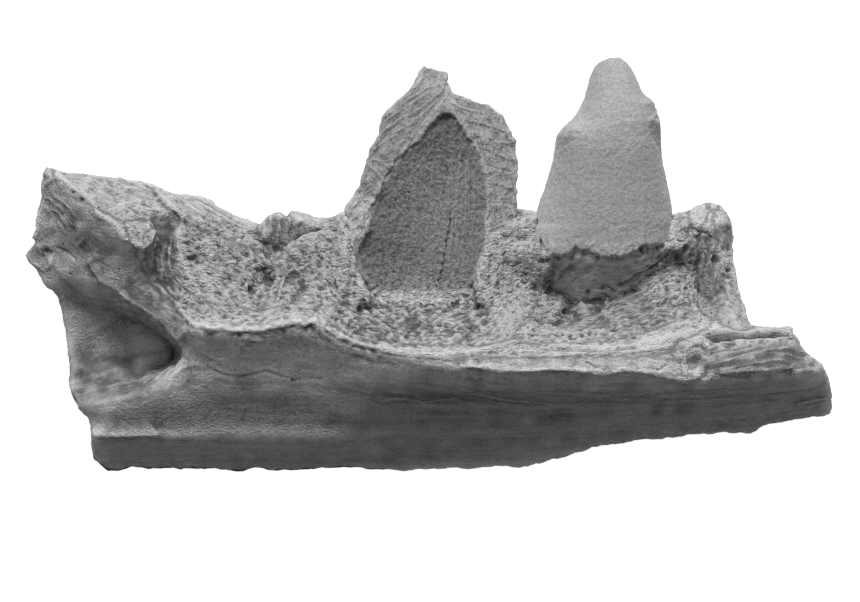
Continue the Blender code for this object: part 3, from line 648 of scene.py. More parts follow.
    ],
    # scarps whose left side, as drawn, stands higher: width, reach, height, points
    "scarps": [
        (1.2, 5, 1.3, [(42, 173), (52, 178), (62, 179), (70, 186), (78, 192), (82, 197), (90, 200), (95, 210),
                       (100, 217), (112, 224), (118, 232), (123, 240), (130, 241), (140, 248), (146, 250),
                       (152, 243), (158, 231)]),
        (1.1, 6, 1.6, [(172, 303), (180, 312), (190, 322), (195, 327), (204, 327), (210, 331), (222, 329),
                       (236, 332), (252, 330), (262, 332), (270, 329), (284, 327), (292, 324), (300, 323),
                       (304, 326), (314, 322), (322, 322), (330, 330), (340, 336), (352, 341), (368, 345),
                       (388, 349)]),
        (1.1, 6, 1.1, [(464, 366), (480, 369), (500, 372), (520, 372), (546, 370), (570, 371), (600, 375),
                       (625, 371), (650, 375), (668, 379), (684, 381), (700, 376)]),
        (1.2, 6, 0.4, [(700, 376), (725, 371), (746, 370), (770, 370), (790, 366), (808, 369)]),
        (1.2, 5, 1.2, [(88, 262), (100, 281), (115, 290), (131, 303), (150, 314), (162, 324), (173, 337),
                       (183, 349)]),
        (1.1, 5, 1.6, [(146, 186), (155, 190), (159, 196), (163, 202), (168, 206), (174, 210), (178, 214),
                       (184, 221)]),
        (1.0, 5, 1.0, [(295, 225), (300, 222), (305, 222), (310, 225), (315, 228), (322, 228)]),
        (1.1, 9, 1.8, [(90, 438), (120, 437), (150, 436), (158, 436), (162, 431)]),
    ],
    # ridges and, with a height below nothing, grooves: half width, height, points
    "lines": [
        (1.3, 1.8, [(44, 185), (49, 181), (52, 177)]),
        (1.1, 1.2, [(52, 193), (60, 199), (68, 206), (74, 213), (78, 218)]),
        (1.1, 1.1, [(44, 197), (52, 200), (60, 207), (66, 213)]),
        (1.1, 1.1, [(42, 207), (50, 208), (58, 212), (64, 218), (70, 224)]),
        (1.0, 1.0, [(60, 215), (65, 222), (71, 230)]),
        (1.0, 1.0, [(64, 213), (69, 219), (75, 226)]),
        (1.0, 1.0, [(57, 220), (62, 227), (68, 234)]),
        (1.5, 1.4, [(85, 235), (80, 242), (76, 248)]),
        (1.7, 1.6, [(92, 252), (97, 255), (101, 258)]),
        (1.4, 1.3, [(88, 263), (92, 258), (95, 262)]),
        (1.5, 1.6, [(38, 262), (44, 270), (50, 264), (52, 256)]),
        (1.4, 1.6, [(39, 226), (36, 233), (34, 240)]),
        (2.0, -2.0, [(42, 250), (47, 250), (53, 254)]),
        (1.4, -1.6, [(56, 246), (68, 252), (78, 260)]),
        (1.0, 1.0, [(123, 191), (128, 187), (133, 189), (137, 195)]),
        (1.0, 1.0, [(119, 190), (124, 194), (125, 199), (120, 203)]),
        (1.0, 1.1, [(146, 217), (151, 225), (155, 233), (151, 241)]),
        (1.0, 1.0, [(150, 215), (155, 223), (159, 230)]),
        (1.0, -1.1, [(137, 180), (145, 185), (152, 188), (162, 191)]),
        (1.0, -1.0, [(186, 199), (198, 200), (208, 204), (216, 210)]),
        (1.1, 1.2, [(170, 197), (182, 201), (194, 209), (206, 216), (220, 223)]),
        (1.0, 1.0, [(182, 210), (192, 216), (204, 221), (218, 228), (232, 232)]),
        (1.0, 1.0, [(205, 206), (216, 213), (230, 221), (246, 228), (258, 231)]),
        (1.0, 1.1, [(167, 240), (163, 252), (162, 262), (164, 272), (169, 281)]),
        (0.9, 0.9, [(159, 246), (157, 256), (159, 266), (163, 276)]),
        (1.0, 1.1, [(173, 238), (170, 250), (170, 262), (173, 272), (179, 281), (187, 288), (198, 294)]),
        (1.0, -1.1, [(169, 243), (167, 255), (169, 267), (175, 278), (183, 287), (192, 292)]),
        (0.9, 0.9, [(178, 242), (182, 256), (188, 268), (197, 278)]),
        (1.0, 1.1, [(166, 284), (174, 293), (186, 299), (200, 303)]),
        (1.0, 1.0, [(160, 287), (168, 296), (178, 304), (186, 314)]),
        (1.0, 1.0, [(170, 299), (180, 305), (190, 310), (202, 315)]),
        (2.4, 3.2, [(282, 251), (290, 246), (300, 242), (308, 238), (316, 235), (326, 232)]),
        (1.1, 3.2, [(277, 303), (279, 297), (281, 288), (283, 280), (286, 274), (290, 270), (294, 268),
                    (298, 271), (304, 267), (309, 263)]),
        (1.4, 2.0, [(299, 283), (304, 279), (309, 284), (313, 292)]),
        (1.1, 2.4, [(335, 285), (345, 282), (353, 279), (359, 285), (365, 292), (374, 297)]),
        (1.0, 1.2, [(352, 273), (360, 276), (367, 280), (371, 289)]),
        (0.9, 1.4, [(275, 217), (271, 228), (267, 241)]),
        (0.9, 1.5, [(283, 216), (280, 228), (276, 242)]),
        (0.9, 1.3, [(290, 216), (288, 228), (284, 241)]),
        (0.9, 1.5, [(250, 274), (260, 267), (273, 259)]),
        (0.9, 1.3, [(254, 268), (264, 261), (274, 254)]),
        (0.9, 1.3, [(262, 276), (272, 268), (279, 262)]),
        (1.3, 1.4, [(262, 314), (275, 312), (285, 306), (292, 304)]),
        (1.3, 1.5, [(268, 322), (280, 317), (292, 314), (300, 316)]),
        (1.2, 1.6, [(345, 340), (352, 332), (358, 327), (366, 324)]),
        (1.2, 1.6, [(398, 323), (406, 318), (414, 312), (422, 308)]),
        (1.3, 1.6, [(366, 303), (374, 310), (384, 318), (392, 326)]),
        (1.1, -0.7, [(205, 364), (213, 369), (225, 374), (237, 377), (249, 375), (266, 371), (278, 374),
                     (290, 378), (325, 378)]),
        (1.0, 0.7, [(214, 366), (228, 371), (240, 373), (252, 371), (266, 367), (280, 370)]),
        (1.0, 0.8, [(236, 352), (242, 345), (252, 340), (262, 342)]),
        (1.0, 0.7, [(196, 345), (204, 352), (214, 358), (224, 360)]),
        (1.1, 1.0, [(166, 376), (172, 366), (180, 357), (186, 352)]),
        (1.1, 1.0, [(170, 379), (178, 371), (187, 366), (200, 363)]),
        (1.4, 1.6, [(352, 342), (368, 346), (386, 350), (405, 352), (428, 354), (452, 353), (480, 350),
                    (500, 345), (520, 342), (545, 345), (572, 346), (602, 348), (640, 344), (670, 338),
                    (700, 330)]),
        (1.0, -1.3, [(350, 345), (366, 350), (386, 354), (410, 357), (440, 359), (462, 364)]),
        (0.9, -0.8, [(470, 354), (500, 351), (525, 352), (550, 352)]),
        (0.9, 0.8, [(466, 358), (500, 356), (540, 356), (590, 353), (640, 350), (672, 345)]),
        (0.9, -0.7, [(520, 348), (560, 350), (600, 352), (640, 349)]),
        (1.1, -1.6, [(584, 361), (592, 364), (599, 367)]),
        (1.1, -1.6, [(654, 370), (662, 366), (669, 363)]),
        (1.0, -1.2, [(624, 372), (632, 370), (640, 368)]),
        (1.2, 1.8, [(684, 348), (694, 343), (703, 340)]),
        (1.2, 3.0, [(706, 350), (712, 347), (725, 344), (740, 343), (759, 342), (776, 340), (793, 337)]),
        (1.0, -1.2, [(708, 354), (722, 350), (738, 348), (752, 345)]),
        (1.0, 1.0, [(708, 365), (724, 361), (744, 354), (764, 350), (788, 347)]),
        (1.0, 0.9, [(716, 370), (736, 366), (760, 362), (784, 358)]),
        (1.1, 1.0, [(676, 350), (681, 362), (685, 377)]),
        (1.0, 0.8, [(685, 352), (684, 362), (690, 373)]),
        (1.2, -2.2, [(618, 286), (628, 281), (636, 275), (645, 272), (650, 268), (656, 264), (662, 259),
                     (669, 253)]),
        (0.9, -2.0, [(676, 240), (684, 240), (690, 236), (698, 236), (704, 232), (713, 238)]),
        (0.9, -1.8, [(691, 227), (697, 230), (703, 233)]),
        (1.0, 1.3, [(634, 290), (650, 280), (668, 274), (684, 274), (694, 282)]),
        (1.0, 1.3, [(636, 300), (652, 290), (670, 284), (684, 286), (693, 296)]),
        (1.0, 1.2, [(644, 308), (660, 300), (676, 296), (688, 302), (696, 312)]),
        (1.0, 1.2, [(652, 270), (668, 264), (682, 262), (692, 268)]),
        (1.3, 1.8, [(690, 298), (697, 311), (706, 320), (718, 325)]),
        (1.2, 1.4, [(626, 338), (650, 334), (674, 326), (700, 324)]),
        (1.6, -1.2, [(699, 258), (697, 274), (699, 293)]),
        (1.2, 0.9, [(694, 252), (692, 270), (694, 288), (700, 304)]),
        (1.4, -2.2, [(720, 272), (726, 277), (733, 278)]),
        (1.1, 1.6, [(520, 226), (532, 224), (543, 230)]),
        (1.1, 1.5, [(518, 236), (530, 233), (542, 239)]),
        (1.1, 1.5, [(512, 246), (526, 243), (538, 250)]),
        (1.3, 1.8, [(500, 305), (512, 298), (524, 288), (532, 284)]),
        (1.4, -2.0, [(478, 286), (473, 276), (475, 268)]),
        (1.0, -0.4, [(470, 396), (495, 400), (520, 404), (546, 405)]),
        (1.0, 0.5, [(380, 402), (400, 398), (424, 402), (450, 399), (474, 404)]),
        (1.0, 0.5, [(486, 396), (506, 400), (530, 402)]),
        (1.0, -0.3, [(366, 398), (384, 404), (402, 401)]),
        (1.2, -0.4, [(600, 398), (640, 396), (700, 390), (760, 388)]),
        (1.0, 0.6, [(806, 408), (822, 403), (829, 400)]),
        (1.3, 1.4, [(796, 404), (812, 400), (830, 398)]),
    ],
    # single pits: x, y, half width, depth
    "pits": [
        (128, 212, 1.6, 1.8), (127, 231, 1.7, 2.0), (107, 205, 1.3, 1.2), (105, 194, 1.3, 1.2),
        (118, 193, 1.8, 1.0), (118, 203, 1.6, 1.0), (144, 202, 2.8, 1.4), (136, 228, 1.3, 1.0),
        (133, 238, 1.8, 1.4), (144, 238, 1.8, 1.4), (120, 269, 1.5, 1.8), (82, 220, 1.6, 1.0),
        (82, 200, 3.0, 1.3), (183, 229, 1.8, 1.3), (189, 257, 1.6, 1.8), (197, 263, 2.0, 2.0),
        (219, 234, 2.2, 1.8), (236, 238, 3.2, 1.6), (243, 237, 2.2, 1.4), (275, 249, 4.2, 3.4),
        (267, 258, 3.4, 2.8), (256, 261, 2.8, 2.2), (238, 263, 2.0, 1.6), (270, 273, 2.2, 3.2),
        (268, 281, 5.6, 4.4), (259, 284, 3.4, 3.2), (252, 291, 4.0, 4.0), (244, 284, 2.6, 3.0),
        (259, 297, 3.4, 2.8), (258, 305, 2.0, 2.4), (230, 278, 2.6, 1.8), (247, 255, 2.4, 1.8),
        (296, 276, 3.8, 2.0), (302, 289, 4.0, 2.2), (332, 292, 2.0, 2.6), (343, 297, 1.6, 2.2),
        (337, 320, 2.2, 2.6), (326, 267, 1.8, 2.0), (349, 327, 3.4, 2.6), (328, 298, 2.0, 2.0),
        (322, 258, 2.0, 1.6), (376, 289, 2.6, 2.0), (386, 300, 2.2, 1.8), (396, 338, 4.0, 3.4),
        (408, 336, 3.4, 2.8), (418, 335, 3.4, 2.6), (421, 296, 1.8, 2.0), (437, 318, 1.8, 2.0),
        (452, 309, 1.8, 1.6), (467, 299, 4.0, 3.6), (477, 308, 3.6, 3.6), (473, 332, 2.8, 2.6),
        (462, 336, 2.4, 2.0), (484, 322, 2.8, 2.2), (527, 221, 3.2, 2.8), (528, 246, 2.4, 2.4),
        (526, 233, 2.4, 2.4), (520, 214, 2.6, 2.0), (514, 266, 2.2, 1.8), (521, 305, 1.8, 1.5),
        (534, 330, 1.7, 2.2), (528, 327, 1.4, 1.6), (566, 312, 4.2, 3.4), (575, 316, 3.0, 3.4),
        (560, 322, 3.6, 2.8), (588, 292, 3.0, 3.2), (598, 311, 3.4, 2.4), (562, 334, 2.2, 2.6),
        (570, 337, 2.2, 2.8), (582, 336, 2.4, 3.2), (589, 333, 2.2, 3.0), (595, 334, 1.9, 2.6),
        (600, 343, 1.7, 1.6), (699, 292, 2.2, 3.4), (728, 270, 2.8, 3.2), (716, 260, 5.0, 3.6),
        (728, 322, 1.5, 1.7), (722, 327, 1.3, 1.4), (700, 218, 1.8, 1.2), (682, 214, 2.6, 1.6),
        (654, 252, 2.4, 2.0), (642, 252, 2.2, 1.8), (240, 335, 2.4, 1.5), (246, 332, 1.8, 1.4),
    ],
    # areas of painted shade and painted light, darker in hollows and on faces turned away, paler on lit faces
    # and edges, in part the bone's own tone: corners, soft border, tone
    "stains": [
        ([(120, 178), (168, 186), (240, 208), (262, 222), (250, 236), (200, 216), (160, 196)], 6, 1.12),
        ([(152, 208), (158, 204), (163, 202), (168, 206), (174, 210), (178, 214), (183, 220), (178, 226),
          (172, 233), (166, 240), (156, 236), (154, 222)], 2.5, 0.84),
        ([(158, 232), (172, 232), (184, 256), (190, 290), (166, 290), (152, 262), (148, 248)], 4, 0.90),
        ([(264, 215), (286, 214), (296, 224), (318, 229), (294, 240), (283, 248), (270, 244), (261, 238)],
         1.5, 1.05),
        ([(640, 348), (640, 334), (690, 318), (712, 316), (720, 330), (690, 340)], 5, 1.85),
        ([(676, 206), (722, 202), (728, 222), (700, 236), (676, 232)], 4, 1.55),
        ([(715, 224), (723, 215), (729, 217), (734, 244), (727, 246), (721, 240)], 2, 0.72),
        ([(711, 250), (720, 250), (720, 270), (711, 268)], 2, 0.78),
        ([(186, 318), (300, 306), (330, 326), (300, 322), (200, 328)], 3, 1.08),
        ([(192, 331), (222, 333), (252, 334), (284, 332), (304, 328), (322, 326), (340, 340), (358, 348),
          (386, 355), (414, 356), (430, 358), (463, 366), (440, 372), (400, 366), (350, 356), (300, 346),
          (220, 346), (196, 340)], 1.5, 0.76),
        ([(345, 341), (380, 346), (440, 349), (500, 344), (640, 342), (700, 326), (650, 346), (600, 352),
          (500, 352), (440, 356), (390, 354)], 2, 1.30),
        ([(706, 333), (740, 332), (792, 331), (788, 338), (740, 341), (710, 344)], 1.5, 0.85),
        ([(700, 346), (795, 342), (815, 368), (740, 372), (700, 370)], 5, 0.60),
        ([(770, 344), (796, 344), (812, 366), (780, 368)], 5, 0.85),
        ([(689, 352), (695, 343), (702, 341), (705, 351), (698, 364), (689, 364), (684, 362)], 1.5, 0.80),
        ([(546, 268), (562, 258), (606, 257), (640, 266), (600, 285), (577, 305), (562, 298), (546, 286)], 3,
         1.16),
        ([(590, 296), (604, 284), (640, 268), (662, 258), (650, 274), (606, 304)], 4, 1.15),
        ([(558, 300), (582, 302), (580, 322), (560, 324)], 4, 0.80),
        ([(132, 372), (172, 374), (150, 394), (132, 396)], 6, 0.42),
        ([(70, 372), (132, 370), (132, 398), (93, 402)], 7, 0.80),
        ([(84, 330), (128, 334), (124, 366), (84, 368)], 8, 0.88),
        ([(68, 356), (132, 357), (132, 374), (68, 376)], 6, 0.34),
        ([(70, 386), (150, 384), (142, 404), (80, 408)], 6, 0.46),
        ([(132, 338), (160, 340), (170, 366), (136, 370)], 6, 1.5),
        ([(124, 268), (160, 274), (184, 312), (184, 342), (150, 316), (126, 290)], 5, 0.56),
        ([(126, 288), (150, 292), (164, 308), (146, 313), (128, 304)], 4, 0.66),
        ([(62, 290), (100, 282), (150, 320), (160, 352), (70, 362)], 8, 1.18),
        ([(56, 200), (96, 214), (122, 240), (110, 256), (70, 250), (44, 220)], 6, 0.70),
        ([(50, 172), (120, 182), (150, 196), (148, 236), (120, 236), (96, 208), (70, 184)], 5, 1.07),
        ([(70, 252), (112, 256), (150, 262), (160, 284), (120, 284)], 8, 1.60),
        ([(54, 286), (80, 286), (86, 330), (90, 398), (70, 396)], 8, 0.70),
        ([(158, 226), (180, 224), (176, 246), (160, 250)], 2, 0.70),
        ([(262, 208), (292, 206), (294, 221), (262, 223)], 1.5, 0.66),
        ([(704, 363), (800, 360), (806, 368), (704, 370)], 1.5, 0.46),
        ([(514, 250), (546, 246), (550, 262), (546, 290), (530, 290), (516, 276)], 8, 1.08),
        ([(150, 212), (184, 214), (182, 228), (152, 226)], 2, 1.40),
        ([(158, 198), (176, 200), (178, 209), (158, 207)], 2, 0.72),
        ([(566, 306), (600, 298), (640, 280), (668, 262), (676, 268), (650, 290), (604, 310), (572, 318)], 3,
         1.25),
        ([(130, 316), (166, 326), (184, 350), (170, 368), (134, 362)], 8, 1.15),
        ([(93, 408), (170, 386), (330, 394), (312, 430), (93, 436)], 6, 0.83),
        ([(93, 408), (170, 386), (400, 394), (382, 430), (93, 436)], 6, 0.83),
        ([(190, 342), (320, 342), (350, 356), (420, 368), (420, 384), (190, 380)], 6, 1.30),
        ([(184, 366), (250, 368), (250, 392), (180, 390)], 5, 0.74),
        ([(176, 240), (262, 232), (345, 230), (372, 300), (318, 316), (200, 318)], 8, 1.07),
        ([(480, 250), (528, 218), (546, 240), (540, 300), (500, 330), (480, 310)], 6, 1.18),
        ([(700, 360), (800, 357), (808, 371), (700, 374)], 3, 0.74),
        ([(340, 384), (820, 384), (820, 430), (430, 460), (300, 480), (316, 432)], 11, 0.82),
        ([(376, 384), (820, 384), (820, 430), (430, 460), (336, 480), (352, 432)], 11, 0.82),
        ([(412, 384), (820, 384), (820, 430), (430, 460), (372, 480), (388, 432)], 11, 0.83),
        ([(90, 440), (160, 438), (345, 440), (345, 476), (90, 476)], 4, 0.56),
        ([(350, 316), (400, 320), (440, 328), (470, 320), (480, 340), (400, 344), (352, 334)], 5, 0.74),
        ([(354, 321), (370, 320), (386, 327), (388, 341), (368, 343), (354, 334)], 2.5, 0.50),
        ([(400, 320), (414, 313), (434, 328), (430, 339), (404, 339)], 2.5, 0.50),
        ([(458, 327), (480, 323), (484, 336), (464, 339)], 3, 0.62),
        ([(461, 291), (474, 288), (484, 300), (482, 310), (466, 306)], 2.5, 0.62),
        ([(330, 296), (346, 293), (353, 314), (338, 320)], 3, 0.70),
        ([(338, 318), (356, 318), (358, 334), (346, 332)], 3, 0.66),
        ([(288, 268), (303, 265), (309, 284), (292, 291)], 3, 0.68),
        ([(497, 318), (520, 314), (528, 330), (502, 334)], 4, 1.18),
        ([(320, 268), (340, 262), (348, 276), (326, 284)], 4, 1.15),
        ([(372, 300), (480, 300), (500, 330), (380, 330)], 10, 0.72),
        ([(560, 300), (640, 296), (690, 300), (660, 330), (580, 334), (550, 326)], 8, 0.56),
        ([(694, 236), (712, 236), (714, 290), (696, 296)], 4, 0.57),
        ([(714, 280), (738, 280), (748, 318), (716, 316)], 6, 0.74),
        ([(95, 235), (140, 250), (165, 236), (182, 290), (190, 318), (150, 300), (110, 270)], 8, 0.94),
        ([(230, 244), (300, 244), (320, 310), (230, 310)], 14, 0.69),
    ],
}


def dressJawBone(teeth):
    look, areas = boneLook, boneLook["areas"]
    piece = roughedOut("jaw_bone", "jawBone", look["voxel"])
    # the drawn slopes
    places = vectors(piece, "co")
    loose = wandering(onSheet(places), places, look["fillBorders"])
    places[:, 2] = filled(loose, places[:, 2], look["lowest"], look["fills"])
    moved(piece, places)
    remeshed(piece, look["voxel"])
    smoothed(piece, look["smoothing"])
    print("jaw bone skin:", len(piece.data.vertices), "points")
    # plain bone is smoothed much further
    flat = onSheet(vectors(piece, "co"))
    front = frontOf(piece)
    zones = {name: within(flat, corners, 4) for name, corners in areas.items()}
    calm = 1 - front * np.clip(blended(zones, look["kept"]), 0, 1)
    keeping, near = look["scarpsKept"]
    calm *= 1 - keeping * front * closeness(flat, [mark[3] for mark in look["scarps"]], near)
    smoothed(piece, look["calming"], calm)
    print("jaw bone smoothed")
    # the noises that roughen it, and the sheet on which drawn marks stray
    places = vectors(piece, "co")
    normals = vectors(piece, "normal")
    flat = onSheet(places)
    x, y, z = places.T
    side = 1 - ramp(np.abs(normals[:, 2]), *look["sideSlope"])
    warp = swirl(x / 9, y / 9, z / 20, 3)
    drawn = flat + 0.8 * warp + 0.7 * swirl(x / 4, y / 4, z / 9, 5)
    patchy = ramp(cloudy(x / 34, y / 34, z / 34, 14), -0.25, 0.35)
    noises = noisesOf(places, look["noises"])
    crumb = noises["crumb"]
    noises["crag"] = craggy(places, warp, crumb, 17, 12, 15)
    noises["crust"] = (0.35 - np.abs(crumb) * 1.6) * patchy
    noises["ridge"] = 0.25 - np.abs(cloudy(x / 9 + 0.5 * crumb, y / 4.2 + 0.5 * crumb, z / 9, 19))
    noises["stripe"] = cloudy(x / 34, y / 34, z / 4.6, 17) + 0.6 * cloudy(x / 18, y / 18, z / 2.8, 18)
    # how rough each place is, then all that stands out or is cut there
    still = 1 - look["calmer"] * np.clip(zones["calmPit"] + zones["calmKnob"] + zones["calmFace"], 0, 1)
    rough = front * np.clip(blended(zones, look["rough"]), 0, 1)
    rough *= still * (1 + look["crumblier"] * zones["crumbly"])
    total = layered(flat + 1.6 * warp, z, front, look["grain"], 100) * front * (0.7 + 0.5 * patchy) * still
    total *= 1 + look["moreLayers"] * zones["crumbly"]
    total += rough * blended(noises, look["brokenNoise"])
    total += front * zones["crumbly"] * look["heaps"] * noises["heap"]
    total += side * blended(noises, look["sideNoise"])
    high, low, worn, uneven = look["wear"]
    total -= side * ramp(z, high, low) * (worn + uneven * cloudy(x / 26, y / 26, z / 16, 16))
    total += (1 - rough) * look["plainGrit"] * noises["grit"]
    total += steps(drawn, front, look["scarps"])
    total += strokes(drawn, front, look["lines"])
    total += hollows(drawn, front, look["pits"])
    zones["openBone"] = zones["spongy"] * patchy * still ** 3
    total += pores(places, front * blended(zones, look["porous"]) + 1e-6, **look["pores"])
    # the skin is moved by that, then turned, pulled and drawn onto the teeth
    places = places + normals * total[:, None]
    places[:, 2] += tilts(drawn, front, look["tilts"])
    for corners, soft, right, up in look["pulls"]:
        places[:, :2] += within(flat, corners, soft)[:, None] * (right, up)
    for tooth in teeth:
        places = snug(places, tooth, *look["snug"])
    moved(piece, places)
    # rough places keep more of their faces
    weighted(piece, "keep", 0.25 + 0.75 * np.clip(rough + 0.5 * front, 0, 1))
    thinned(piece, look["faces"], vertex_group="keep", vertex_group_factor=1.0)
    # what the materials read
    places = vectors(piece, "co")
    flat = onSheet(places)
    facing = frontOf(piece)
    openBone = within(flat, areas["spongy"], 5) + 0.55 * within(flat, areas["facet"], 3)
    openBone *= 1 - 0.6 * within(flat, areas["calmPit"], 4)
    layers = (0.5 * within(flat, areas["leftFace"], 4) + within(flat, areas["band"], 4)
              + within(flat, areas["knob"], 4))
    streaky = 0.14 + (0.11 + 0.75 * (1.35 * openBone + 0.6 * layers)) * facing
    # painted shade and painted light by drawn area
    tone = stained(wandering(flat, places, look["stainBorders"]), look["stains"])
    # painted shade along the fine cracks
    tone *= 1 - look["crackShade"] * closeness(flat, look["cracks"], look["crackWidth"])
    # faces away from the front get the paler tone, painted light where little light falls
    noted(piece, flow=flowOf(flat, places[:, 2], look["grain"]), pitted=np.clip(openBone, 0, 1) * facing,
          stain=look["paintedBackLight"] + (tone - look["paintedBackLight"]) * facing, streaky=np.clip(streaky, 0, 1.25))
    return piece


